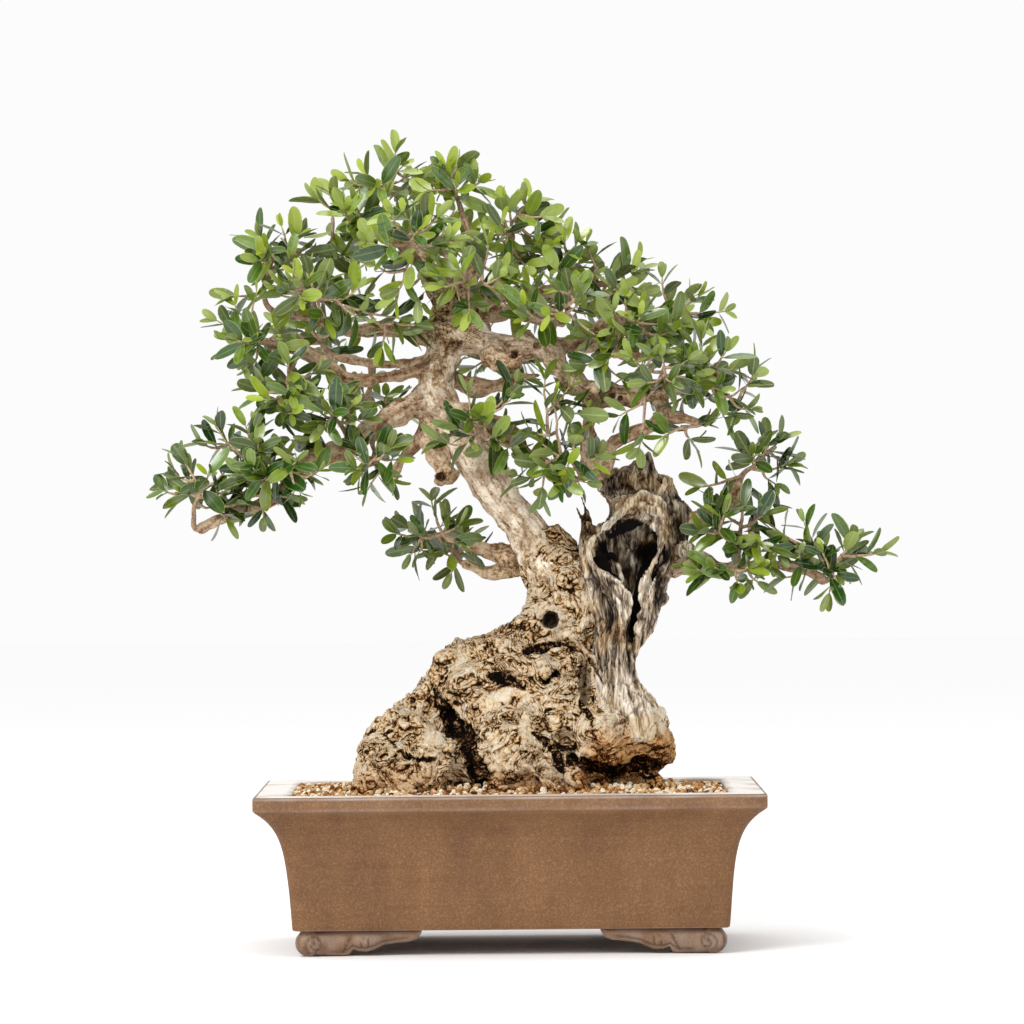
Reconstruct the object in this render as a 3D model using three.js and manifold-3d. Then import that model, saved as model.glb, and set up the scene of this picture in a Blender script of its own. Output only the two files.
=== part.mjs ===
// An olive bonsai in its footed rectangular pot. Millimetres, +Z up, and the front faces -Y.
//
// The tree has a broad burred root base, a smooth live trunk that leans left out of it, and the hollow
// old trunk, now deadwood, on the right. All of that wood grew as one piece and is one mesh. Each leafy
// spray is one mesh: its stem, its shoots and the opposite pair of leaves at the tip of each shoot.
// The pot is one fired piece with its feet. The soil fills it, over a screen on each drain hole.
import * as THREE from "three";
import { mergeVertices } from "three/addons/utils/BufferGeometryUtils.js";
import Module from "manifold-3d";

const wasm = await Module();
wasm.setup();
const { Manifold, Mesh } = wasm;

// ---------------------------------------------------------------- driving dimensions
const CLEARANCE = 0.3; // gap kept between pieces that rest on each other
const VAST = 800; // larger than the bonsai, for cutting everything beyond a plane

const POT = {
  length: 400, // over the lip
  depth: 260,
  height: 126,
  footHeight: 20,
  lipHeight: 11.5,
  lipEdge: 1, // bevel round the lip
  rimWidth: 28, // flat top of the lip
  innerTaper: 10, // how much the room inside draws in towards its floor
  innerFillet: 4,
  innerCorner: 7,
  flare: 29, // how far the lip stands out past the foot of the wall
  floorTop: 34,
  corner: 6, // corner radius of the plan
};
const FOOT = { inset: 5, thickness: 15, sideShare: 0.62 };
const DRAIN = { radius: 13, spacing: 150 };
const SCREEN = { side: 40, thickness: 1.2, border: 4, holes: 3, barWidth: 2 };
const SOIL = { edgeHeight: 120.5, moundHeight: 20, moundX: 120, moundY: 70, grain: 1.6, gridX: 16, gridY: 10 };
const WOOD = { bottom: 100, lobing: 4 };
const SHOOT = {
  stemRadius: 2.6,
  endRadius: 1.5,
  waist: 1.1, // half width where the two leaves part
  neck: 0.9, // half thickness there
  mitre: 1.0,
  step: 0.12, // share of the stem from one shoot to the next
  shortest: 9,
  tries: 200, // places tried for a shoot before it is left out
  room: 1.6, // kept round a shoot, and below round a leaf
  woodGap: 2.2,
};
const LEAF = {
  room: 2.5,
  shortest: 21,
  longest: 31,
  slenderness: 0.42, // width over length
  thickness: 0.7,
  cup: 0.16, // how far the long edges rise, over the half width
  arch: 0.1, // how far the tip droops, over the length
};

// ---------------------------------------------------------------- the tree's plan
// Limbs: a list of stations [x, y, z, radius], from the wood they grow from out to their tip.
const LIMBS = {
  trunk: [
    [40, 8, 296, 27], [27, 4, 322, 20], [6, 0, 350, 17.5], [-17, -4, 382, 16.5], [-37, -6, 404, 16],
    [-54, -4, 430, 17], [-57, 0, 448, 15.5], [-50, 4, 472, 14.5], [-45, 4, 492, 17.5], [-44, 6, 512, 13],
    [-48, 8, 528, 9],
  ],
  apex: [[-46, 8, 518, 10], [-64, 10, 544, 7.5], [-82, 12, 562, 6], [-98, 14, 580, 4.5], [-108, 14, 598, 3.2]],
  apex_right: [[-44, 6, 512, 9], [-30, 2, 530, 6.5], [-22, 0, 552, 5], [-32, -2, 580, 3.5]],
  apex_front: [[-46, 0, 510, 9], [-60, -26, 528, 6], [-70, -48, 546, 4]],
  apex_back: [[-46, 10, 512, 9], [-40, 38, 532, 6.5], [-46, 60, 552, 4.5]],
  crown_right: [[-40, 6, 500, 11], [-22, 6, 513, 7.5], [10, 12, 521, 6], [42, 14, 524, 5], [72, 14, 528, 4]],
  crown_right_top: [[-20, 6, 514, 6], [-2, 4, 530, 5], [4, 0, 552, 3.6]],
  crown_left: [
    [-46, 4, 490, 9], [-68, 2, 487, 6.5], [-93, -2, 494, 5.5], [-123, -8, 491, 5], [-150, -12, 500, 4],
    [-180, -16, 506, 3.2],
  ],
  crown_back: [[-42, 10, 498, 10], [-18, 36, 506, 7.5], [14, 62, 506, 6], [45, 82, 500, 4.5]],
  left_upper: [
    [-54, 0, 462, 10], [-72, -6, 462, 7], [-103, -18, 456, 6.4], [-128, -24, 456, 6], [-146, -26, 466, 5.4],
    [-165, -28, 476, 4.6], [-184, -30, 480, 3.8],
  ],
  left_back: [[-50, 8, 468, 9], [-76, 34, 466, 6.5], [-110, 62, 468, 5.4], [-140, 82, 474, 4]],
  left_lower: [
    [-54, -4, 430, 13], [-78, -12, 430, 9.5], [-107, -30, 411, 8.5], [-123, -38, 400, 8], [-153, -50, 389, 7],
    [-175, -58, 368, 6.5], [-193, -62, 354, 6], [-217, -66, 346, 4.8], [-240, -70, 336, 4],
  ],
  left_hanging: [[-60, -2, 422, 8], [-74, -6, 400, 5], [-86, -10, 386, 4], [-92, -12, 370, 3]],
  stub: [[-60, -8, 424, 10], [-62, -16, 404, 8.5], [-55, -20, 390, 8.5], [-47, -22, 376, 8]],
  front: [
    [-52, -10, 428, 12], [-21, -26, 418, 9.2], [0, -34, 409, 8.6], [17, -40, 390, 7.6], [40, -46, 375, 5.6],
    [52, -50, 372, 4],
  ],
  right_upper: [
    [-44, 0, 488, 16], [-28, -8, 486, 14], [-6, -16, 477, 12.5], [14, -22, 478, 11], [33, -28, 474, 10],
    [42, -34, 461, 9.4], [54, -40, 449, 9], [69, -44, 440, 9], [94, -46, 437, 9], [121, -45, 443, 7.6],
    [148, -44, 448, 6], [164, -42, 453, 4.5],
  ],
  right_stub: [[-8, -16, 478, 10], [-8, -34, 468, 9.5], [6, -46, 465, 8]],
  right_rising: [[30, -26, 474, 9], [61, -18, 483, 6.8], [85, -14, 498, 5.6], [104, -12, 500, 5], [132, -8, 508, 3.8]],
  right_back: [[56, -18, 482, 7], [80, 22, 476, 5.6], [108, 56, 470, 4.2]],
  right_bridge: [[119, -44, 442, 7.5], [125, -42, 421, 6.5], [106, -34, 410, 6], [86, -24, 400, 6.4], [76, -12, 382, 8]],
  right_twig: [[124, -42, 420, 5], [140, -46, 419, 3.6], [150, -47, 416, 3]],
  riser: [[92, 2, 360, 12], [68, 4, 367, 9], [61, 2, 386, 6.6], [66, -8, 412, 5.8], [67, -34, 434, 6.5]],
  right_low: [
    [124, -4, 310, 14], [146, -8, 306, 10], [168, -12, 299, 7.8], [182, -14, 300, 6.6], [202, -18, 303, 5.2],
    [222, -20, 302, 4.3], [237, -22, 298, 3.8], [250, -24, 290, 3.2],
  ],
  right_low_up: [[132, 0, 332, 9], [154, -4, 340, 6.4], [168, -8, 348, 6.4], [181, -10, 353, 6], [184, -11, 366, 4.6]],
  left_low_back: [[34, 18, 308, 10], [13, 24, 306, 6.4], [-3, 28, 299, 5.4], [-18, 30, 297, 4.2], [-34, 31, 304, 3]],
  left_low_knob: [[4, 26, 302, 7], [0, 25, 313, 8.5], [-16, 24, 314, 5.6], [-28, 22, 320, 4.6], [-48, 20, 327, 3.4]],
};

// Roots below the surface, from the base out into the soil.
const ROOTS = [
  [[-80, -20, 112, 17], [-104, -38, 88, 11], [-130, -60, 62, 6]],
  [[-60, 30, 112, 16], [-92, 48, 86, 10], [-118, 62, 56, 5]],
  [[40, 34, 112, 18], [56, 56, 84, 11], [82, 68, 54, 5]],
  [[92, -14, 136, 20], [116, -32, 96, 12], [140, -54, 60, 6]],
];

// Burrs of the root base: centre, half sizes and fineness.
const BURRS = [
  { at: [24, 4, 184], size: [78, 60, 66], detail: 2 }, // body
  { at: [44, 6, 268], size: [32, 30, 60], detail: 1 }, // neck below the live trunk
  { at: [8, 6, 220], size: [50, 46, 42], detail: 1 },
  { at: [-28, 6, 200], size: [48, 46, 42], detail: 1 }, // left shoulder
  { at: [-74, 6, 154], size: [44, 46, 40], detail: 1 },
  { at: [-78, -34, 142], size: [46, 36, 42], detail: 2 }, // front left boulder
  { at: [6, -40, 146], size: [50, 36, 48], detail: 1 }, // front centre
  { at: [52, -38, 160], size: [42, 32, 40], detail: 1 },
  { at: [98, -6, 164], size: [38, 46, 32], detail: 1 }, // below the old trunk
  { at: [10, 42, 150], size: [60, 30, 50], detail: 1 }, // back
  { at: [76, 34, 152], size: [44, 32, 44], detail: 1 },
  { at: [-46, 38, 144], size: [42, 30, 42], detail: 1 },
];

// Old cuts and cavities in the base: centre and half sizes.
const HOLLOWS = [
  { at: [33, -26, 260], size: [6.5, 12, 6.5], detail: 1 }, // cut branch, rotted out
  { at: [-37, -54, 138], size: [8, 24, 34], detail: 0 }, // cleft beside the boulder
  { at: [72, -48, 132], size: [26, 20, 12], detail: 0 }, // undercut above the soil
];

// Strands of the old trunk: sinews of deadwood round its long hollow, from the crown down to the base.
const STRANDS = [
  [[66, -22, 322, 5], [72, -30, 306, 8], [84, -36, 284, 8.5], [90, -37, 264, 8], [88, -36, 236, 10],
    [86, -36, 190, 14]], // left lip
  [[68, -8, 338, 9], [68, -12, 314, 12], [74, -14, 286, 13], [82, -18, 250, 13], [84, -20, 200, 17]],
  [[86, 12, 372, 9], [84, 14, 340, 14], [86, 12, 305, 15], [90, 6, 262, 15], [92, -2, 200, 20]],
  [[106, 18, 378, 10], [107, 18, 342, 15], [104, 14, 302, 15], [98, 6, 255, 14], [96, -2, 205, 17]],
  [[124, 12, 366, 9], [127, 12, 336, 14], [117, 8, 300, 14], [106, 2, 258, 12], [95, -4, 216, 11]],
  [[134, -4, 346, 10], [133, -6, 324, 12], [115, -10, 294, 12], [107, -14, 262, 11], [98, -18, 230, 10],
    [97, -22, 200, 15]], // right wall
  [[120, -24, 340, 7], [122, -31, 314, 8], [109, -34, 288, 7.5], [103, -35, 262, 7.5], [100, -35, 234, 8],
    [100, -35, 190, 13]], // right lip
  [[70, -16, 336, 7], [86, -22, 348, 8], [104, -25, 350, 8.5], [120, -24, 342, 9], [130, -14, 326, 9]], // arch
  [[80, 0, 364, 9], [102, -4, 370, 12], [122, 0, 360, 11], [138, -2, 340, 10]], // crest
  [[110, -4, 368, 12], [111, -6, 382, 7.5], [113, -7, 391, 3]], // broken top
  [[127, -6, 350, 7], [131, -8, 371, 2]],
  [[60, -2, 360, 1.6], [66, -8, 330, 6]], // dead spike
  [[136, -4, 314, 9], [143, -22, 314, 6.5]], // sawn stub
  [[112, -8, 276, 10], [124, -9, 276, 5]],
];

// Leafy sprays: the limb station that each springs from, the middle of its foliage, how far its shoot tips
// stand from that middle, and how many shoots it has. A variant draws another arrangement of them.
const SPRAYS = {
  left_low_tip: { from: ["left_lower", 8], middle: [-252, -72, 360], reach: [24, 22, 15], shoots: 5 },
  left_low_mid: { from: ["left_lower", 7], middle: [-204, -56, 392], reach: [18, 22, 20], shoots: 5 },
  left_low_front: { from: ["left_lower", 5], middle: [-172, -94, 376], reach: [20, 14, 14], shoots: 4 },
  left_mid_tip: { from: ["left_upper", 6], middle: [-224, -34, 476], reach: [20, 22, 11], shoots: 5 },
  left_mid: { from: ["left_upper", 5], middle: [-190, -58, 440], reach: [20, 18, 16], shoots: 4 },
  left_mid_in: { from: ["left_lower", 3], middle: [-138, -66, 424], reach: [22, 16, 11], shoots: 4 },
  left_in_low: { from: ["left_lower", 2], middle: [-104, -74, 386], reach: [20, 14, 13], shoots: 4 },
  left_up_tip: { from: ["crown_left", 5], middle: [-206, -18, 546], reach: [21, 22, 15], shoots: 5 },
  left_up_front: { from: ["crown_left", 4], middle: [-156, -46, 520], reach: [18, 16, 12], shoots: 4 },
  left_up_back: { from: ["crown_left", 3], middle: [-140, 34, 520], reach: [22, 20, 14], shoots: 4 },
  left_back: { from: ["left_back", 3], middle: [-152, 86, 488], reach: [24, 22, 18], shoots: 4 },
  left_back_low: { from: ["left_back", 2], middle: [-112, 86, 438], reach: [20, 18, 12], shoots: 4 },
  apex_left: { from: ["apex", 2], middle: [-130, -2, 574], reach: [17, 20, 20], shoots: 4 },
  apex_top: { from: ["apex", 4], middle: [-100, 10, 610], reach: [24, 22, 13], shoots: 5 },
  apex_right: { from: ["apex_right", 3], middle: [-42, -6, 606], reach: [18, 20, 15], shoots: 4 },
  apex_front: { from: ["apex_front", 2], middle: [-80, -62, 562], reach: [22, 14, 18], shoots: 5 },
  apex_back: { from: ["apex_back", 2], middle: [-56, 76, 570], reach: [26, 22, 20], shoots: 4 },
  crown_front: { from: ["apex_front", 1], middle: [-28, -56, 526], reach: [22, 14, 16], shoots: 4 },
  crown_top: { from: ["crown_right_top", 2], middle: [6, -4, 578], reach: [19, 22, 17], shoots: 4 },
  crown_right: { from: ["crown_right", 3], middle: [46, 4, 546], reach: [20, 22, 14], shoots: 4 },
  crown_right_tip: { from: ["crown_right", 4], middle: [98, 8, 544], reach: [20, 24, 14], shoots: 5 },
  crown_right_front: { from: ["right_upper", 4], middle: [44, -62, 506], reach: [24, 14, 12], shoots: 4 },
  crown_back: { from: ["crown_back", 3], middle: [48, 88, 518], reach: [28, 22, 18], shoots: 4 },
  crown_back_left: { from: ["crown_back", 1], middle: [-10, 66, 474], reach: [24, 20, 12], shoots: 4, variant: 1 },
  right_mid: { from: ["right_rising", 2], middle: [100, -42, 496], reach: [20, 16, 12], shoots: 4, variant: 1 },
  right_tip: { from: ["right_rising", 4], middle: [154, -8, 516], reach: [24, 24, 16], shoots: 5, variant: 1 },
  right_low_tip: { from: ["right_upper", 11], middle: [180, -44, 452], reach: [17, 22, 18], shoots: 5 },
  right_front: { from: ["right_upper", 9], middle: [124, -74, 456], reach: [20, 12, 12], shoots: 4 },
  right_under: { from: ["right_twig", 2], middle: [156, -50, 404], reach: [14, 14, 12], shoots: 3 },
  right_back: { from: ["right_back", 2], middle: [118, 68, 484], reach: [26, 22, 16], shoots: 4 },
  front_centre: { from: ["front", 5], middle: [50, -68, 386], reach: [18, 12, 18], shoots: 5 },
  front_left: { from: ["front", 1], middle: [-18, -62, 406], reach: [22, 12, 16], shoots: 4 },
  low_left_tip: { from: ["left_low_knob", 4], middle: [-66, 18, 336], reach: [22, 18, 13], shoots: 4 },
  low_left_in: { from: ["left_low_back", 4], middle: [-44, 46, 314], reach: [14, 16, 10], shoots: 3 },
  low_right_top: { from: ["right_low_up", 4], middle: [194, -14, 386], reach: [22, 22, 12], shoots: 5 },
  low_right_mid: { from: ["right_low", 3], middle: [186, -26, 328], reach: [20, 16, 12], shoots: 4 },
  low_right_tip: { from: ["right_low", 7], middle: [274, -28, 308], reach: [24, 20, 18], shoots: 5 },
  low_right_under: { from: ["right_low", 2], middle: [178, -34, 290], reach: [18, 12, 8], shoots: 3 },
};

const COLOURS = {
  pot: { color: "#83664c", roughness: 0.72, metalness: 0 },
  soil: { color: "#a88a62", roughness: 0.95, metalness: 0 },
  screen: { color: "#26282a", roughness: 0.6, metalness: 0 },
  wood: { color: "#b09a7a", roughness: 0.9, metalness: 0 },
  foliage: { color: "#4c6f35", roughness: 0.45, metalness: 0 },
};

// ---------------------------------------------------------------- helpers
const vector = (p) => new THREE.Vector3(p[0], p[1], p[2]);
const lerp = THREE.MathUtils.lerp;

// A repeatable stream of numbers from 0 to 1.
function stream(seed) {
  let state = seed >>> 0;
  const next = () => {
    state = (Math.imul(state, 1664525) + 1013904223) >>> 0;
    return state / 4294967296;
  };
  next();
  next();
  return next;
}

// A closed geometry as a solid.
function solid(geometry) {
  const bare = new THREE.BufferGeometry();
  bare.setAttribute("position", geometry.getAttribute("position").clone());
  bare.setIndex(geometry.index);
  const merged = mergeVertices(bare, 1e-4);
  return new Manifold(
    new Mesh({
      numProp: 3,
      vertProperties: new Float32Array(merged.attributes.position.array),
      triVerts: new Uint32Array(merged.index.array),
    }),
  );
}

function geometryOf(body) {
  const { vertProperties, triVerts } = body.getMesh();
  const geometry = new THREE.BufferGeometry();
  geometry.setAttribute("position", new THREE.BufferAttribute(vertProperties, 3));
  geometry.setIndex(new THREE.BufferAttribute(triVerts, 1));
  return geometry;
}

const joined = (bodies) => bodies.reduce((sum, body) => sum.add(body));
const largestOf = (body) => body.decompose().reduce((a, b) => (a.volume() > b.volume() ? a : b));

// The geometry turned over in X, Y or both, with its faces kept pointing out.
function mirrored(geometry, signX, signY) {
  const copy = geometry.index ? geometry.toNonIndexed() : geometry.clone();
  copy.scale(signX, signY, 1);
  if (signX * signY < 0) {
    const place = copy.attributes.position;
    for (let i = 0; i < place.count; i += 3) {
      const second = new THREE.Vector3().fromBufferAttribute(place, i + 1);
      const third = new THREE.Vector3().fromBufferAttribute(place, i + 2);
      place.setXYZ(i + 1, third.x, third.y, third.z);
      place.setXYZ(i + 2, second.x, second.y, second.z);
    }
  }
  return copy;
}

// Directions along a line of points, and one that is carried along square to them without twisting.
function frames(points) {
  const last = points.length - 1;
  const tangents = points.map((_, i) =>
    points[Math.min(i + 1, last)].clone().sub(points[Math.max(i - 1, 0)]).normalize(),
  );
  const across = Math.abs(tangents[0].z) < 0.9 ? new THREE.Vector3(0, 0, 1) : new THREE.Vector3(1, 0, 0);
  const normals = [across.sub(tangents[0].clone().multiplyScalar(across.dot(tangents[0]))).normalize()];
  for (let i = 1; i <= last; i++) {
    const turn = new THREE.Quaternion().setFromUnitVectors(tangents[i - 1], tangents[i]);
    normals.push(normals[i - 1].clone().applyQuaternion(turn));
  }
  return { tangents, normals };
}

// A tapering round limb through stations [x, y, z, radius]: a cylinder bent onto that line.
function limb(stations, sides, grow = 0) {
  const points = stations.map(vector);
  const last = points.length - 1;
  const { tangents, normals } = frames(points);
  points[0].addScaledVector(tangents[0], -grow);
  points[last].addScaledVector(tangents[last], grow);
  const geometry = new THREE.CylinderGeometry(1, 1, 1, sides, last);
  const place = geometry.attributes.position;
  for (let i = 0; i < place.count; i++) {
    const k = Math.round((place.getY(i) + 0.5) * last);
    const radius = stations[k][3] + grow;
    const binormal = tangents[k].clone().cross(normals[k]);
    const at = points[k]
      .clone()
      .addScaledVector(binormal, place.getX(i) * radius)
      .addScaledVector(normals[k], place.getZ(i) * radius);
    place.setXYZ(i, at.x, at.y, at.z);
  }
  return solid(geometry);
}

// Thicker limbs have more sides.
function sidesFor(stations) {
  const radius = stations[1][3];
  if (radius > 18) return 8;
  if (radius > 12) return 6;
  return radius > 7 ? 5 : 4;
}


// Low swellings all over the base, as a formula in the wood's own coordinates.
function lobing(p) {
  return (
    WOOD.lobing *
    (Math.sin(p.x / 9 + Math.sin(p.z / 13)) * Math.cos(p.z / 10 + p.y / 17) + 0.5 * Math.sin(p.y / 8 + p.x / 21))
  );
}

function burr({ at, size, detail }, grow, rough) {
  const geometry = new THREE.IcosahedronGeometry(1, detail);
  const place = geometry.attributes.position;
  const middle = vector(at);
  for (let i = 0; i < place.count; i++) {
    const out = new THREE.Vector3().fromBufferAttribute(place, i);
    const point = new THREE.Vector3(out.x * size[0], out.y * size[1], out.z * size[2]).add(middle);
    point.addScaledVector(out, grow + rough * lobing(point));
    place.setXYZ(i, point.x, point.y, point.z);
  }
  return solid(geometry);
}

const block = (x, y, z, width, depth, height) => // centred at x, y, z
 
  solid(new THREE.BoxGeometry(width, depth, height).translate(x, y, z));

// ---------------------------------------------------------------- pot
const wallHeight = POT.height - POT.lipHeight - POT.footHeight;
const footHalfX = POT.length / 2 - POT.flare;
const footHalfY = POT.depth / 2 - POT.flare;

// How far the wall stands out at a share of its height: nearly upright, then sweeping out to the lip.
const flareAt = (share) => (POT.flare - 0.6) * (0.49 * share ** 2.5 + 0.51 * share ** 8);

function roundedRing(halfX, halfY, radius, z) {
  const ring = [];
  const steps = 2;
  [[1, 1], [-1, 1], [-1, -1], [1, -1]].forEach(([sx, sy], quarter) => {
    for (let i = 0; i <= steps; i++) {
      const turn = ((quarter + i / steps) * Math.PI) / 2;
      ring.push([
        sx * (halfX - radius) + radius * Math.cos(turn),
        sy * (halfY - radius) + radius * Math.sin(turn),
        z,
      ]);
    }
  });
  return ring;
}

// A closed body through rings of equally many points, listed from the bottom up.
function loft(rings) {
  const count = rings[0].length;
  const positions = rings.flat(2);
  const faces = [];
  for (let r = 0; r + 1 < rings.length; r++) {
    for (let i = 0; i < count; i++) {
      const a = r * count + i;
      const b = r * count + ((i + 1) % count);
      faces.push(a, b, b + count, a, b + count, a + count);
    }
  }
  const top = (rings.length - 1) * count;
  for (let i = 1; i + 1 < count; i++) faces.push(0, i + 1, i, top, top + i, top + i + 1);
  const geometry = new THREE.BufferGeometry();
  geometry.setAttribute("position", new THREE.Float32BufferAttribute(positions, 3));
  geometry.setIndex(faces);
  return solid(geometry);
}

function potOutside() {
  const rings = [0, 0.3, 0.55, 0.72, 0.84, 0.92, 0.97, 1].map((share) => {
    const out = flareAt(share);
    return roundedRing(footHalfX + out, footHalfY + out, POT.corner, POT.footHeight + share * wallHeight);
  });
  const lip = (inset, z) => roundedRing(POT.length / 2 - inset, POT.depth / 2 - inset, POT.corner, z);
  rings.push(lip(0, POT.height - POT.lipHeight + 0.5));
  rings.push(lip(0, POT.height - POT.lipEdge));
  rings.push(lip(POT.lipEdge, POT.height));
  return loft(rings);
}

// The room inside the pot, drawn in by a clearance where something has to fit it.
function potInside(inset, top) {
  const { floorTop, innerTaper, innerFillet, innerCorner } = POT;
  const ring = (drawnIn, z) =>
    roundedRing(
      POT.length / 2 - POT.rimWidth - inset - drawnIn,
      POT.depth / 2 - POT.rimWidth - inset - drawnIn,
      innerCorner,
      z,
    );
  return loft([
    ring(innerTaper + innerFillet, floorTop + inset),
    ring(innerTaper, floorTop + inset + innerFillet),
    ring(0, POT.height - POT.lipHeight),
    ring(0, top),
  ]);
}

// One wing of a cloud foot, seen from outside: a rolled toe, a smaller lobe and a long tail.
function footWing(share) {
  const top = POT.footHeight + 1;
  const outline = new THREE.Shape();
  outline.moveTo(10 * share, top);
  outline.quadraticCurveTo(0, 14, 5 * share, 7);
  outline.quadraticCurveTo(7 * share, 0, 15 * share, 0);
  outline.lineTo(36 * share, 0);
  outline.quadraticCurveTo(44 * share, 0.5, 46 * share, 5.5);
  outline.quadraticCurveTo(49 * share, 2.5, 56 * share, 3);
  outline.quadraticCurveTo(64 * share, 3.5, 70 * share, 9);
  outline.lineTo(92 * share, 10.5);
  outline.quadraticCurveTo(99 * share, 12, 101 * share, top);
  const geometry = new THREE.ExtrudeGeometry(outline, {
    depth: FOOT.thickness,
    bevelEnabled: false,
    curveSegments: 2,
  });
  return geometry.rotateX(Math.PI / 2); // drawn in X and Z, and running towards -Y
}

function feet() {
  const corner = [-footHalfX, -footHalfY];
  const front = footWing(1).translate(corner[0], corner[1] + FOOT.inset + FOOT.thickness, 0);
  const side = footWing(FOOT.sideShare)
    .rotateZ(Math.PI / 2)
    .translate(corner[0] + FOOT.inset, corner[1], 0);
  return [[1, 1], [-1, 1], [1, -1], [-1, -1]].flatMap(([sx, sy]) =>
    [front, side].map((wing) => solid(mirrored(wing, sx, sy))),
  );
}

function makePot() {
  const drains = [-1, 1].map((side) =>
    solid(
      new THREE.CylinderGeometry(DRAIN.radius, DRAIN.radius, POT.floorTop, 12)
        .rotateX(Math.PI / 2)
        .translate((side * DRAIN.spacing) / 2, 0, POT.floorTop / 2 + 2),
    ),
  );
  const shell = potOutside().subtract(potInside(0, POT.height + 5));
  return joined([shell, ...feet()]).subtract(joined(drains));
}

// ---------------------------------------------------------------- drain screens
function screen(side) {
  const middle = (side * DRAIN.spacing) / 2;
  const height = POT.floorTop + CLEARANCE + SCREEN.thickness / 2;
  const pitch = (SCREEN.side - 2 * SCREEN.border + SCREEN.barWidth) / SCREEN.holes;
  const open = pitch - SCREEN.barWidth;
  const offsets = [...Array(SCREEN.holes).keys()].map((i) => (i - (SCREEN.holes - 1) / 2) * pitch);
  const holes = offsets.flatMap((x) => offsets.map((y) => block(middle + x, y, height, open, open, 5)));
  return block(middle, 0, height, SCREEN.side, SCREEN.side, SCREEN.thickness).subtract(joined(holes));
}

// ---------------------------------------------------------------- wood
function makeWood(grow) {
  const base = joined(BURRS.map((b) => burr(b, grow, 1)));
  const hollows = joined(HOLLOWS.map((h) => burr(h, -grow, 0)));
  const below = block(0, 0, WOOD.bottom - grow - VAST / 2, VAST, VAST, VAST);
  const strands = STRANDS.map((s) => limb(s, 5, grow));
  const limbs = Object.values(LIMBS).map((s) => limb(s, sidesFor(s), grow));
  const roots = ROOTS.map((r) => limb(r, 4, grow));
  return joined([base.subtract(hollows).subtract(below), ...strands, ...limbs, ...roots]);
}

// ---------------------------------------------------------------- soil
function soilHeight(x, y) {
  const mound = SOIL.moundHeight * Math.exp(-((x / SOIL.moundX) ** 2) - (y / SOIL.moundY) ** 2);
  const grains = Math.sin(x * 1.9 + y * 0.7) * Math.cos(y * 2.3 - x * 0.4);
  return SOIL.edgeHeight + mound + SOIL.grain * grains;
}

function makeSoil(fatWood) {
  const geometry = new THREE.BoxGeometry(POT.length, POT.depth, POT.height, SOIL.gridX, SOIL.gridY, 1);
  const place = geometry.attributes.position;
  for (let i = 0; i < place.count; i++) {
    if (place.getZ(i) > 0) place.setZ(i, soilHeight(place.getX(i), place.getY(i)));
  }
  const screenGap = 4 * CLEARANCE;
  const screenRoom = SCREEN.side + screenGap;
  const screens = [-1, 1].map((side) =>
    block((side * DRAIN.spacing) / 2, 0, POT.floorTop, screenRoom, screenRoom, 2 * SCREEN.thickness + screenGap),
  );
  const room = potInside(CLEARANCE, POT.height + SOIL.moundHeight * 2);
  return largestOf(solid(geometry).intersect(room).subtract(fatWood).subtract(joined(screens)));
}

// ---------------------------------------------------------------- foliage
// The stem of a spray: from the middle of its limb, up and over to the middle of its foliage.
function stemOf(spray) {
  const start = vector(LIMBS[spray.from[0]][spray.from[1]]);
  const middle = vector(spray.middle);
  const bend = start.clone().lerp(middle, 0.5);
  bend.z += 0.12 * start.distanceTo(middle);
  return new THREE.QuadraticBezierCurve3(start, bend, middle);
}

// The three directions of a shoot's tip: along it, towards its first leaf, and across both leaves.
function shootAxes({ along, roll }) {
  const side = new THREE.Vector3(-along.y, along.x, 0).normalize().applyAxisAngle(along, roll);
  return { along, side, across: along.clone().cross(side) };
}

// The axis, the normal and the outward side of one leaf of a shoot's pair.
function leafAxes(shoot, which) {
  const { along, side, across } = shootAxes(shoot);
  const sign = which === 0 ? 1 : -1;
  const { spread } = shoot;
  return {
    axis: along.clone().multiplyScalar(Math.cos(spread)).addScaledVector(side, sign * Math.sin(spread)),
    normal: along.clone().multiplyScalar(Math.sin(spread)).addScaledVector(side, -sign * Math.cos(spread)),
    outward: across.clone().multiplyScalar(sign),
  };
}

function leafPoint(shoot, which, share, reach, lift) {
  const { axis, normal, outward } = leafAxes(shoot, which);
  const length = shoot.lengths[which];
  return shoot.tip
    .clone()
    .addScaledVector(axis, share * length)
    .addScaledVector(outward, reach)
    .addScaledVector(normal, lift - LEAF.arch * share * share * length);
}

// Points over a shoot and its leaves, each with the room to keep round it.
function shootPoints(shoot) {
  const points = [0.35, 0.6, 0.85].map((share) => ({
    at: shoot.root.clone().lerp(shoot.tip, share),
    room: SHOOT.room,
  }));
  [0, 1].forEach((which) => {
    const reach = 0.42 * LEAF.slenderness * shoot.lengths[which];
    const add = (share, across) => points.push({ at: leafPoint(shoot, which, share, across, 0), room: LEAF.room });
    [0.2, 0.4, 0.6, 0.8].forEach((share) => [-reach, 0, reach].forEach((across) => add(share, across)));
    add(1, 0);
  });
  return points;
}

const woodSegments = [...Object.values(LIMBS), ...STRANDS].flatMap((stations) =>
  stations.slice(1).map((end, i) => [vector(stations[i]), vector(end), stations[i][3], end[3]]),
);

function clearOfWood({ at: point }) {
  return woodSegments.every(([a, b, ra, rb]) => {
    const span = b.clone().sub(a);
    const share = THREE.MathUtils.clamp(point.clone().sub(a).dot(span) / span.lengthSq(), 0, 1);
    return point.distanceTo(a.clone().addScaledVector(span, share)) > lerp(ra, rb, share) + SHOOT.woodGap;
  });
}

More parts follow.
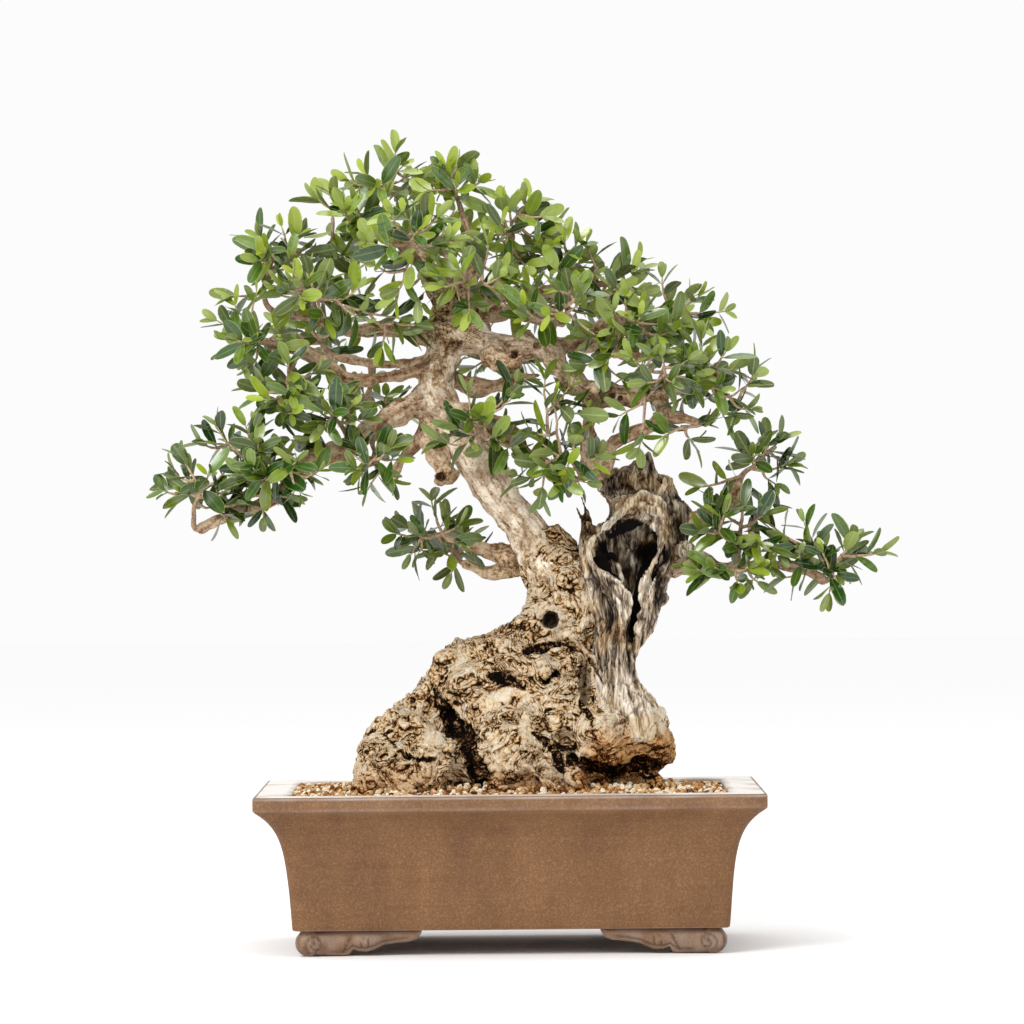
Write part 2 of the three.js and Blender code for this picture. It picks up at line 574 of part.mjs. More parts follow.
// One place for shoot k of a spray: its root on the stem, its tip and the two leaves there. The side shoots
// stand round the middle of the spray, and the end shoot runs on from the stem.
function drawShoot(spray, stem, k, turned, next) {
  const share = (k + 0.5) / spray.shoots;
  const rise = Math.asin(lerp(-0.6, 0.95, share) + 0.3 * (next() - 0.5));
  const around = turned + k * 2.39996 + 2 * (next() - 0.5);
  const far = 0.75 + 0.4 * next();
  const direction = new THREE.Vector3(
    Math.cos(rise) * Math.cos(around),
    Math.cos(rise) * Math.sin(around),
    Math.sin(rise),
  );
  if (k + 1 === spray.shoots) direction.multiplyScalar(0.6).add(stem.getTangent(1)).normalize();
  const tip = vector(spray.middle).add(direction.multiply(vector(spray.reach)).multiplyScalar(far));
  const root = stem.getPoint(Math.min(1, 1 - SHOOT.step * (spray.shoots - 1.5 - k)));
  const along = tip.clone().sub(root).normalize();
  along.z += 0.3;
  along.normalize();
  const roll = next() * Math.PI;
  const spread = 0.65 + 0.4 * next();
  const lengths = [0, 1].map(() => lerp(LEAF.shortest, LEAF.longest, next()));
  return { root, tip, along, roll, spread, lengths };
}

// Side shoots leave the stem at a wide angle, and the end shoot runs on from it.
function growsWell(spray, stem, shoot, k) {
  const reach = shoot.tip.clone().sub(shoot.root);
  const turn = reach.dot(stem.getTangent(0.95)) / reach.length();
  const wellTurned = k + 1 < spray.shoots ? Math.abs(turn) < 0.75 : turn > 0.55;
  return reach.length() > SHOOT.shortest && wellTurned;
}

// All shoots of all sprays, each spray's end shoot last in its list. Each shoot takes the first drawn place
// that is clear of the wood and of every shoot placed before it.
function planShoots() {
  const sprays = Object.values(SPRAYS);
  const stems = sprays.map(stemOf);
  const taken = stems.flatMap((stem) =>
    [0.3, 0.4, 0.5, 0.6, 0.7, 0.8, 0.9, 1].map((share) => ({ at: stem.getPoint(share), room: SHOOT.room })),
  );
  return sprays.map((spray, number) => {
    const next = stream(9001 + 97 * number + (spray.variant ?? 0));
    const turned = next() * Math.PI * 2;
    const stem = stems[number];
    const place = (k) => {
      for (let attempt = 0; attempt < SHOOT.tries; attempt++) {
        const shoot = drawShoot(spray, stem, k, turned, next);
        const points = shootPoints(shoot);
        const free = points.every((p) => taken.every((q) => p.at.distanceTo(q.at) > p.room + q.room));
        if (free && growsWell(spray, stem, shoot, k) && points.every(clearOfWood)) {
          taken.push(...points);
          return [shoot];
        }
      }
      return [];
    };
    const end = place(spray.shoots - 1);
    const sides = [...Array(spray.shoots - 1).keys()].flatMap(place);
    return { stem, shoots: [...sides, ...end], thick: 0.8 * LIMBS[spray.from[0]][spray.from[1]][3] };
  });
}

// A spray as one closed skin. Its stem is a square tube; each shoot grows out of one face of the tube, and
// the last out of its end; the skin of a shoot runs on into its two leaves, arched blades of even thickness.
function makeSpray({ stem, shoots, thick }, fatWood) {
  const points = [];
  const faces = [];
  const add = (point) => points.push(point) - 1;
  const quad = (a, b, c, d) => faces.push(a, b, c, a, c, d);

  function tube(base, neck) {
    const middleOf = (loop) =>
      loop.reduce((sum, i) => sum.add(points[i]), new THREE.Vector3()).divideScalar(loop.length);
    const move = middleOf(neck).sub(middleOf(base));
    const strain = (turn) =>
      base.reduce((sum, i, k) => sum + points[i].clone().add(move).distanceTo(points[neck[(k + turn) % 4]]), 0);
    const turn = [0, 1, 2, 3].reduce((best, t) => (strain(t) < strain(best) ? t : best));
    base.forEach((i, k) => quad(i, base[(k + 1) % 4], neck[(k + 1 + turn) % 4], neck[(k + turn) % 4]));
  }

  function growShoot(shoot, base) {
    const { along, side, across } = shootAxes(shoot);
    const around = (at, s, w) => add(at.clone().addScaledVector(side, s).addScaledVector(across, w));
    const crown = shoot.tip.clone().addScaledVector(along, SHOOT.mitre);
    const top = [1, -1].map((w) => around(crown, 0, w * SHOOT.waist));
    const neck = [1, -1].map((s) => [1, -1].map((w) => around(shoot.tip, s * SHOOT.neck, w * SHOOT.waist)));
    [0, 1].forEach((which) => {
      const width = (shoot.lengths[which] * LEAF.slenderness) / 2;
      const station = (share, reach, lift) => add(leafPoint(shoot, which, share, reach, lift));
      const rows = [[0.34, 0.92 * width], [0.7, 0.84 * width]].map(([share, reach]) => ({
        topRight: station(share, reach, LEAF.cup * reach),
        topLeft: station(share, -reach, LEAF.cup * reach),
        underRight: station(share, reach, LEAF.cup * reach - LEAF.thickness),
        underLeft: station(share, -reach, LEAF.cup * reach - LEAF.thickness),
      }));
      const tipTop = station(1, 0, 0);
      const tipUnder = station(1, 0, -LEAF.thickness);
      const first = {
        topRight: top[which],
        topLeft: top[1 - which],
        underRight: neck[which][which],
        underLeft: neck[which][1 - which],
      };
      for (const [a, b] of [[first, rows[0]], [rows[0], rows[1]]]) {
        quad(a.topLeft, b.topLeft, b.topRight, a.topRight);
        quad(a.underRight, b.underRight, b.underLeft, a.underLeft);
        quad(a.topRight, b.topRight, b.underRight, a.underRight);
        quad(a.underLeft, b.underLeft, b.topLeft, a.topLeft);
      }
      const end = rows[1];
      faces.push(end.topLeft, tipTop, end.topRight, end.underRight, tipUnder, end.underLeft);
      quad(end.topRight, tipTop, tipUnder, end.underRight);
      quad(end.underLeft, tipUnder, tipTop, end.topLeft);
    });
    faces.push(top[0], neck[0][0], neck[1][0], top[1], neck[1][1], neck[0][1]);
    tube(base, [neck[0][0], neck[1][0], neck[1][1], neck[0][1]]);
  }

  const count = shoots.length;
  const shares = [0, ...shoots.map((_, i) => 1 - SHOOT.step * (count - 1 - i))];
  const line = shares.map((share) => stem.getPoint(share));
  const { tangents, normals } = frames(line);
  const rings = line.map((at, i) => {
    const radius = lerp(Math.min(SHOOT.stemRadius, thick), SHOOT.endRadius, shares[i]);
    const binormal = tangents[i].clone().cross(normals[i]);
    return [[1, 0], [0, 1], [-1, 0], [0, -1]].map(([n, b]) =>
      add(at.clone().addScaledVector(normals[i], n * radius).addScaledVector(binormal, b * radius)),
    );
  });
  quad(rings[0][3], rings[0][2], rings[0][1], rings[0][0]);
  for (let r = 0; r < count; r++) {
    const sideFaces = [0, 1, 2, 3].map((f) => {
      const g = (f + 1) % 4;
      return [rings[r][f], rings[r][g], rings[r + 1][g], rings[r + 1][f]];
    });
    if (r > 0) {
      const shoot = shoots[r - 1];
      const facing = ([a, b, c]) => {
        const out = points[b].clone().sub(points[a]).cross(points[c].clone().sub(points[b])).normalize();
        return out.dot(shoot.tip.clone().sub(points[a].clone().lerp(points[c], 0.5)));
      };
      sideFaces.sort((p, q) => facing(q) - facing(p));
      growShoot(shoot, sideFaces.shift());
    }
    sideFaces.forEach((face) => quad(...face));
  }
  growShoot(shoots[count - 1], rings[count]);
  const geometry = new THREE.BufferGeometry();
  geometry.setAttribute("position", new THREE.Float32BufferAttribute(points.flatMap((p) => p.toArray()), 3));
  geometry.setIndex(faces);
  return largestOf(solid(geometry).subtract(fatWood));
}

// ---------------------------------------------------------------- the whole bonsai
function meshOf(name, body, finish) {
  const mesh = new THREE.Mesh(geometryOf(body), new THREE.MeshStandardMaterial(finish));
  mesh.name = name;
  return mesh;
}

const bonsai = new THREE.Group();
const fatWood = makeWood(CLEARANCE);
bonsai.add(meshOf("pot", makePot(), COLOURS.pot));
bonsai.add(meshOf("drain_screen_left", screen(-1), COLOURS.screen));
bonsai.add(meshOf("drain_screen_right", screen(1), COLOURS.screen));
bonsai.add(meshOf("wood", makeWood(0), COLOURS.wood));
bonsai.add(meshOf("soil", makeSoil(fatWood), COLOURS.soil));
const plans = planShoots();
Object.keys(SPRAYS).forEach((name, number) => {
  bonsai.add(meshOf("spray_" + name, makeSpray(plans[number], fatWood), COLOURS.foliage));
});

// The origin is on the standing surface, in the middle of the whole bonsai.
const extent = new THREE.Box3().setFromObject(bonsai);
bonsai.position.set(-(extent.min.x + extent.max.x) / 2, -(extent.min.y + extent.max.y) / 2, -extent.min.z);

export default bonsai;
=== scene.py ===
"""An old olive bonsai in a footed stoneware pot.

Every piece is worked out in millimetres, measured from the middle of the pot on the surface it stands on, and
its mesh is then put into metres in the frame of the CAD model.
"""

import math
from functools import partial
from itertools import product

import bpy
import numpy as np
from bpy.props import FloatProperty, FloatVectorProperty, IntProperty, PointerProperty
from mathutils import Euler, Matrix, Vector


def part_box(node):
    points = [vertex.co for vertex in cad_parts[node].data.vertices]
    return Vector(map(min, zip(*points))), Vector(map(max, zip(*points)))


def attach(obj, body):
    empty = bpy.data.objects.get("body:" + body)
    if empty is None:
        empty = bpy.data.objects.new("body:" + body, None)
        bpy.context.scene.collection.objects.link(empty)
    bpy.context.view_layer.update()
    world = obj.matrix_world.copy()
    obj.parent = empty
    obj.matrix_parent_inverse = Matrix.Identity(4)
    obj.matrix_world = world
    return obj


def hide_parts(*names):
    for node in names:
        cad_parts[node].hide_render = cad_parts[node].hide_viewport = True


bl_info = {
    "name": "Olive bonsai",
    "version": (1, 0, 0),
    "blender": (4, 5, 0),
    "location": "View3D > Sidebar > Bonsai",
    "description": "Builds an old olive bonsai in a footed stoneware pot over its CAD frame",
    "category": "Add Mesh",
}

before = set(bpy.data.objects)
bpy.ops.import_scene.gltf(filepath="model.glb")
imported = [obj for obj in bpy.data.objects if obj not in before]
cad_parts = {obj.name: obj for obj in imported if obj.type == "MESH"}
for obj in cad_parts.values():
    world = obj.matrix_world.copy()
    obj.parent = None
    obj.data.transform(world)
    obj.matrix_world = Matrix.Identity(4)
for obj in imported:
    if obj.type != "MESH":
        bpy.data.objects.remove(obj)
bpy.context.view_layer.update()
POT_LOW, POT_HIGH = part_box("pot")
MIDDLE = (POT_LOW + POT_HIGH) / 2
METRE = 1000.0  # millimetres
FAR = 60.0  # a distance in mm that counts as far from every surface


def linear(colour):
    """An sRGB hex colour as linear red, green and blue."""
    srgb = [int(colour[i : i + 2], 16) / 255 for i in (1, 3, 5)]
    return tuple(c / 12.92 if c <= 0.04045 else ((c + 0.055) / 1.055) ** 2.4 for c in srgb)


# ---------------------------------------------------------------- the tree's plan
# Limbs: stations [x, y, z, radius] in mm, from the wood they grow from out to their tip.
LIMBS = {
    "trunk": [
        (40, 8, 296, 27), (27, 4, 322, 20), (6, 0, 350, 17.5), (-17, -4, 382, 16.5), (-37, -6, 404, 16),
        (-54, -4, 430, 17), (-57, 0, 448, 15.5), (-50, 4, 472, 14.5), (-45, 4, 492, 17.5), (-44, 6, 512, 13),
        (-48, 8, 528, 9),
    ],
    "apex": [(-46, 8, 518, 10), (-64, 10, 544, 7.5), (-82, 12, 562, 6), (-98, 14, 580, 4.5), (-108, 14, 598, 3.2)],
    "apex_right": [(-44, 6, 512, 9), (-30, 2, 530, 6.5), (-22, 0, 552, 5), (-32, -2, 580, 3.5)],
    "apex_front": [(-46, 0, 510, 9), (-60, -26, 528, 6), (-70, -48, 546, 4)],
    "apex_back": [(-46, 10, 512, 9), (-40, 38, 532, 6.5), (-46, 60, 552, 4.5)],
    "crown_right": [(-40, 6, 500, 11), (-22, 6, 513, 7.5), (10, 12, 521, 6), (42, 14, 524, 5), (72, 14, 528, 4)],
    "crown_right_top": [(-20, 6, 514, 6), (-2, 4, 530, 5), (4, 0, 552, 3.6)],
    "crown_left": [
        (-46, 4, 490, 9), (-68, 2, 487, 6.5), (-93, -2, 494, 5.5), (-123, -8, 491, 5), (-150, -12, 500, 4),
        (-180, -16, 506, 3.2),
    ],
    "crown_back": [(-42, 10, 498, 10), (-18, 36, 506, 7.5), (14, 62, 506, 6), (45, 82, 500, 4.5)],
    "left_upper": [
        (-54, 0, 462, 10), (-72, -6, 462, 7), (-103, -18, 456, 6.4), (-128, -24, 456, 6), (-146, -26, 466, 5.4),
        (-165, -28, 476, 4.6), (-184, -30, 480, 3.8),
    ],
    "left_back": [(-50, 8, 468, 9), (-76, 34, 466, 6.5), (-110, 62, 468, 5.4), (-140, 82, 474, 4)],
    "left_lower": [
        (-54, -4, 430, 13), (-78, -12, 430, 9.5), (-107, -30, 411, 8.5), (-123, -38, 400, 8), (-153, -50, 389, 7),
        (-175, -58, 368, 6.5), (-193, -62, 354, 6), (-217, -66, 346, 4.8), (-240, -70, 336, 4),
    ],
    "left_hanging": [(-60, -2, 422, 8), (-74, -6, 400, 5), (-86, -10, 386, 4), (-92, -12, 370, 3)],
    "stub": [(-60, -8, 424, 10), (-62, -16, 404, 8.5), (-55, -20, 390, 8.5), (-47, -22, 376, 8)],
    "front": [
        (-52, -10, 428, 12), (-21, -26, 418, 9.2), (0, -34, 409, 8.6), (17, -40, 390, 7.6), (40, -46, 375, 5.6),
        (52, -50, 372, 4),
    ],
    "right_upper": [
        (-44, 0, 488, 16), (-28, -8, 486, 14), (-6, -16, 477, 12.5), (14, -22, 478, 11), (33, -28, 474, 10),
        (42, -34, 461, 9.4), (54, -40, 449, 9), (69, -44, 440, 9), (94, -46, 437, 9), (121, -45, 443, 7.6),
        (148, -44, 448, 6), (164, -42, 453, 4.5),
    ],
    "right_stub": [(-8, -16, 478, 10), (-8, -34, 468, 9.5), (6, -46, 465, 8)],
    "right_rising": [
        (30, -26, 474, 9), (61, -18, 483, 6.8), (85, -14, 498, 5.6), (104, -12, 500, 5), (132, -8, 508, 3.8),
    ],
    "right_back": [(56, -18, 482, 7), (80, 22, 476, 5.6), (108, 56, 470, 4.2)],
    "right_bridge": [
        (119, -44, 442, 7.5), (125, -42, 421, 6.5), (106, -34, 410, 6), (86, -24, 400, 6.4), (76, -12, 382, 8),
    ],
    "right_twig": [(124, -42, 420, 5), (140, -46, 419, 3.6), (150, -47, 416, 3)],
    "riser": [(92, 2, 360, 12), (68, 4, 367, 9), (61, 2, 386, 6.6), (66, -8, 412, 5.8), (67, -34, 434, 6.5)],
    "right_low": [
        (124, -4, 310, 14), (146, -8, 306, 10), (168, -12, 299, 7.8), (182, -14, 300, 6.6), (202, -18, 303, 5.2),
        (222, -20, 302, 4.3), (237, -22, 298, 3.8), (250, -24, 290, 3.2),
    ],
    "right_low_up": [
        (132, 0, 332, 9), (154, -4, 340, 6.4), (168, -8, 348, 6.4), (181, -10, 353, 6), (184, -11, 366, 4.6),
    ],
    "left_low_back": [
        (34, 18, 308, 10), (13, 24, 306, 6.4), (-3, 28, 299, 5.4), (-18, 30, 297, 4.2), (-34, 31, 304, 3),
    ],
    "left_low_knob": [
        (4, 26, 302, 7), (0, 25, 313, 8.5), (-16, 24, 314, 5.6), (-28, 22, 320, 4.6), (-48, 20, 327, 3.4),
    ],
}

# Burrs of the root base: centre and half sizes.
BURRS = [
    ((24, 4, 184), (78, 60, 66)), ((44, 6, 268), (32, 30, 60)), ((8, 6, 220), (50, 46, 42)),
    ((-28, 6, 200), (48, 46, 42)), ((-74, 6, 154), (44, 46, 40)), ((-78, -34, 142), (46, 36, 42)),
    ((6, -40, 146), (50, 36, 48)), ((52, -38, 160), (42, 32, 40)), ((98, -6, 164), (38, 46, 32)),
    ((10, 42, 150), (60, 30, 50)), ((76, 34, 152), (44, 32, 44)), ((-46, 38, 144), (42, 30, 42)),
]

# Old cuts and cavities in the base: centre and half sizes.
HOLLOWS = [
    ((33, -27, 260), (6.5, 13, 6.5)), ((-37, -58, 140), (8, 24, 32)), ((74, -60, 132), (22, 20, 8)),
    ((29, -60, 213), (6, 16, 4)), ((44, -70, 168), (8, 14, 4.5)), ((60, -34, 214), (3, 20, 26)),
]

# Thin roots that run down over the base into the soil.
SURFACE_ROOTS = [
    [(-49, -66, 160, 3), (-51, -72, 146, 3.4), (-55, -76, 134, 3), (-58, -80, 122, 2.6)],
    [(12, -74, 152, 5), (20, -78, 142, 5.5), (30, -84, 132, 4.5), (40, -90, 121, 3)],
    [(38, -70, 148, 5), (48, -74, 138, 5), (58, -80, 130, 4), (66, -86, 120, 3)],
    [(-20, -72, 138, 6), (-14, -80, 130, 6), (-2, -86, 124, 5), (6, -92, 119, 3)],
    [(-96, -52, 142, 8), (-112, -58, 130, 7), (-126, -62, 120, 5)],
    [(104, -32, 146, 8), (114, -46, 134, 7), (120, -60, 122, 5)],
    [(-60, 64, 140, 8), (-74, 74, 128, 7), (-88, 82, 118, 5)], [(50, 60, 140, 9), (64, 74, 128, 7), (76, 84, 118, 5)],
]

# Strands of the old trunk: sinews of deadwood round its long hollow, from the crown down to the base.
STRANDS = [
    [
        (66, -22, 322, 5), (72, -30, 306, 8), (84, -36, 284, 8.5), (90, -37, 264, 8), (88, -36, 236, 10),
        (86, -36, 190, 14),
    ],
    [(68, -8, 338, 9), (68, -12, 314, 12), (74, -14, 286, 13), (82, -18, 250, 13), (84, -20, 200, 17)],
    [(86, 12, 372, 9), (84, 14, 340, 14), (86, 12, 305, 15), (90, 6, 262, 15), (92, -2, 200, 20)],
    [(106, 18, 378, 10), (107, 18, 342, 15), (104, 14, 302, 15), (98, 6, 255, 14), (96, -2, 205, 17)],
    [(124, 12, 366, 9), (127, 12, 336, 14), (117, 8, 300, 14), (106, 2, 258, 12), (95, -4, 216, 11)],
    [
        (134, -4, 346, 10), (133, -6, 324, 12), (115, -10, 294, 12), (107, -14, 262, 11), (98, -18, 230, 10),
        (97, -22, 200, 15),
    ],
    [
        (120, -24, 340, 7), (122, -31, 314, 8), (109, -34, 288, 7.5), (103, -35, 262, 7.5), (100, -35, 234, 8),
        (100, -35, 190, 13),
    ],
    [(70, -16, 336, 7), (86, -22, 348, 8), (104, -25, 350, 8.5), (120, -24, 342, 9), (130, -14, 326, 9)],
    [(80, 0, 364, 9), (102, -4, 370, 12), (122, 0, 360, 11), (138, -2, 340, 10)],
    [(110, -4, 368, 12), (111, -6, 382, 7.5), (113, -7, 391, 3)], [(127, -6, 350, 7), (131, -8, 371, 2)],
    [(60, -2, 360, 1.6), (66, -8, 330, 6)], [(136, -4, 314, 9), (143, -22, 314, 6.5)],
    [(112, -8, 276, 10), (124, -9, 276, 5)],
]

# Leafy sprays: the limb station that each springs from, the middle of its foliage, how far its shoot tips
# stand from that middle, how many shoots it has in the CAD model, and which arrangement of them it draws.
SPRAYS = {
    "left_low_tip": ("left_lower", 8, (-252, -72, 360), (24, 22, 15), 5, 0),
    "left_low_mid": ("left_lower", 7, (-204, -56, 392), (18, 22, 20), 5, 0),
    "left_low_front": ("left_lower", 5, (-172, -94, 376), (20, 14, 14), 4, 0),
    "left_mid_tip": ("left_upper", 6, (-224, -34, 476), (20, 22, 11), 5, 0),
    "left_mid": ("left_upper", 5, (-190, -58, 440), (20, 18, 16), 4, 0),
    "left_mid_in": ("left_lower", 3, (-138, -66, 424), (22, 16, 11), 4, 0),
    "left_in_low": ("left_lower", 2, (-104, -74, 386), (20, 14, 13), 4, 0),
    "left_up_tip": ("crown_left", 5, (-206, -18, 546), (21, 22, 15), 5, 0),
    "left_up_front": ("crown_left", 4, (-156, -46, 520), (18, 16, 12), 4, 0),
    "left_up_back": ("crown_left", 3, (-140, 34, 520), (22, 20, 14), 4, 0),
    "left_back": ("left_back", 3, (-152, 86, 488), (24, 22, 18), 4, 0),
    "left_back_low": ("left_back", 2, (-112, 86, 438), (20, 18, 12), 4, 0),
    "apex_left": ("apex", 2, (-130, -2, 574), (17, 20, 20), 4, 0),
    "apex_top": ("apex", 4, (-100, 10, 610), (24, 22, 13), 5, 0),
    "apex_right": ("apex_right", 3, (-42, -6, 606), (18, 20, 15), 4, 0),
    "apex_front": ("apex_front", 2, (-80, -62, 562), (22, 14, 18), 5, 0),
    "apex_back": ("apex_back", 2, (-56, 76, 570), (26, 22, 20), 4, 0),
    "crown_front": ("apex_front", 1, (-28, -56, 526), (22, 14, 16), 4, 0),
    "crown_top": ("crown_right_top", 2, (6, -4, 578), (19, 22, 17), 4, 0),
    "crown_right": ("crown_right", 3, (46, 4, 546), (20, 22, 14), 4, 0),
    "crown_right_tip": ("crown_right", 4, (98, 8, 544), (20, 24, 14), 5, 0),
    "crown_right_front": ("right_upper", 4, (44, -62, 506), (24, 14, 12), 4, 0),
    "crown_back": ("crown_back", 3, (48, 88, 518), (28, 22, 18), 4, 0),
    "crown_back_left": ("crown_back", 1, (-10, 66, 474), (24, 20, 12), 4, 1),
    "right_mid": ("right_rising", 2, (100, -42, 496), (20, 16, 12), 4, 1),
    "right_tip": ("right_rising", 4, (154, -8, 516), (24, 24, 16), 5, 1),
    "right_low_tip": ("right_upper", 11, (180, -44, 452), (17, 22, 18), 5, 0),
    "right_front": ("right_upper", 9, (124, -74, 456), (20, 12, 12), 4, 0),
    "right_under": ("right_twig", 2, (156, -50, 404), (14, 14, 12), 3, 0),
    "right_back": ("right_back", 2, (118, 68, 484), (26, 22, 16), 4, 0),
    "front_centre": ("front", 5, (50, -68, 386), (18, 12, 18), 5, 0),
    "front_left": ("front", 1, (-18, -62, 406), (22, 12, 16), 4, 0),
    "low_left_tip": ("left_low_knob", 4, (-66, 18, 336), (22, 18, 13), 4, 0),
    "low_left_in": ("left_low_back", 4, (-44, 46, 314), (14, 16, 10), 3, 0),
    "low_right_top": ("right_low_up", 4, (194, -14, 386), (22, 22, 12), 5, 0),
    "low_right_mid": ("right_low", 3, (186, -26, 328), (20, 16, 12), 4, 0),
    "low_right_tip": ("right_low", 7, (274, -28, 308), (24, 20, 18), 5, 0),
    "low_right_under": ("right_low", 2, (178, -34, 290), (18, 12, 8), 3, 0),
}


# ---------------------------------------------------------------- patterns in numpy
def scrambled(cells, seed):
    """Whole-number grid points turned into repeatable numbers from 0 to 1 by mixing their bits."""
    x, y, z = cells.T
    mixed = (x * 374761393 + y * 668265263 + z * 1440670441 + seed * 974634777) & 0xFFFFFFFF
    for shift, factor in ((13, 1274126177), (15, 1103515245)):
        mixed = ((mixed ^ (mixed >> shift)) * factor) & 0xFFFFFFFF
    return ((mixed ^ (mixed >> 16)) & 0xFFFFFF) / 16777216.0


def celled(points, size):
    """The points' places in a grid of that size in mm, and the grid point below each."""
    place = points / np.asarray(size, float) + 1000.0
    return place, np.floor(place).astype(np.int64)


def noise(points, size, seed):
    """Smooth numbers from 0 to 1: the scrambled corners of a grid of that size in mm, blended with
    6t^5 - 15t^4 + 10t^3 along each axis. The size is one number or one for each axis."""
    place, cell = celled(points, size)
    t = place - cell
    t = t * t * t * (t * (6 * t - 15) + 10)
    total = np.zeros(len(points))
    for step in product((0, 1), repeat=3):
        total += np.prod(np.where(step[::-1], t, 1 - t), axis=1) * scrambled(cell + step[::-1], seed)
    return total


def drifted(points, size, reach, seed):
    """The points moved by up to half the reach along each axis, by noise of that size."""
    return points + reach * (np.stack([noise(points, size, seed + axis) for axis in range(3)], 1) - 0.5)


def plates(points, size, seed):
    """How far each point is from the edges between plates, in cell sizes: the distance to the second nearest
    of one scattered centre in each cell of a grid, less that to the nearest."""
    place, cell = celled(points, size)
    near, second = np.full((2, len(points)), 9.0)
    for step in product((-1, 0, 1), repeat=3):
        corner = cell + step
        gap = norms(place - np.stack([corner[:, a] + scrambled(corner, seed + 7 * a) for a in range(3)], 1))
        closer = gap < near
        second = np.where(closer, near, np.minimum(second, gap))
        near = np.where(closer, gap, near)
    return second - near


def ease(low, high, value):
    """0 below low, 1 above high, and 3t^2 - 2t^3 between them."""
    t = np.clip((value - low) / (high - low), 0, 1)
    return t * t * (3 - 2 * t)


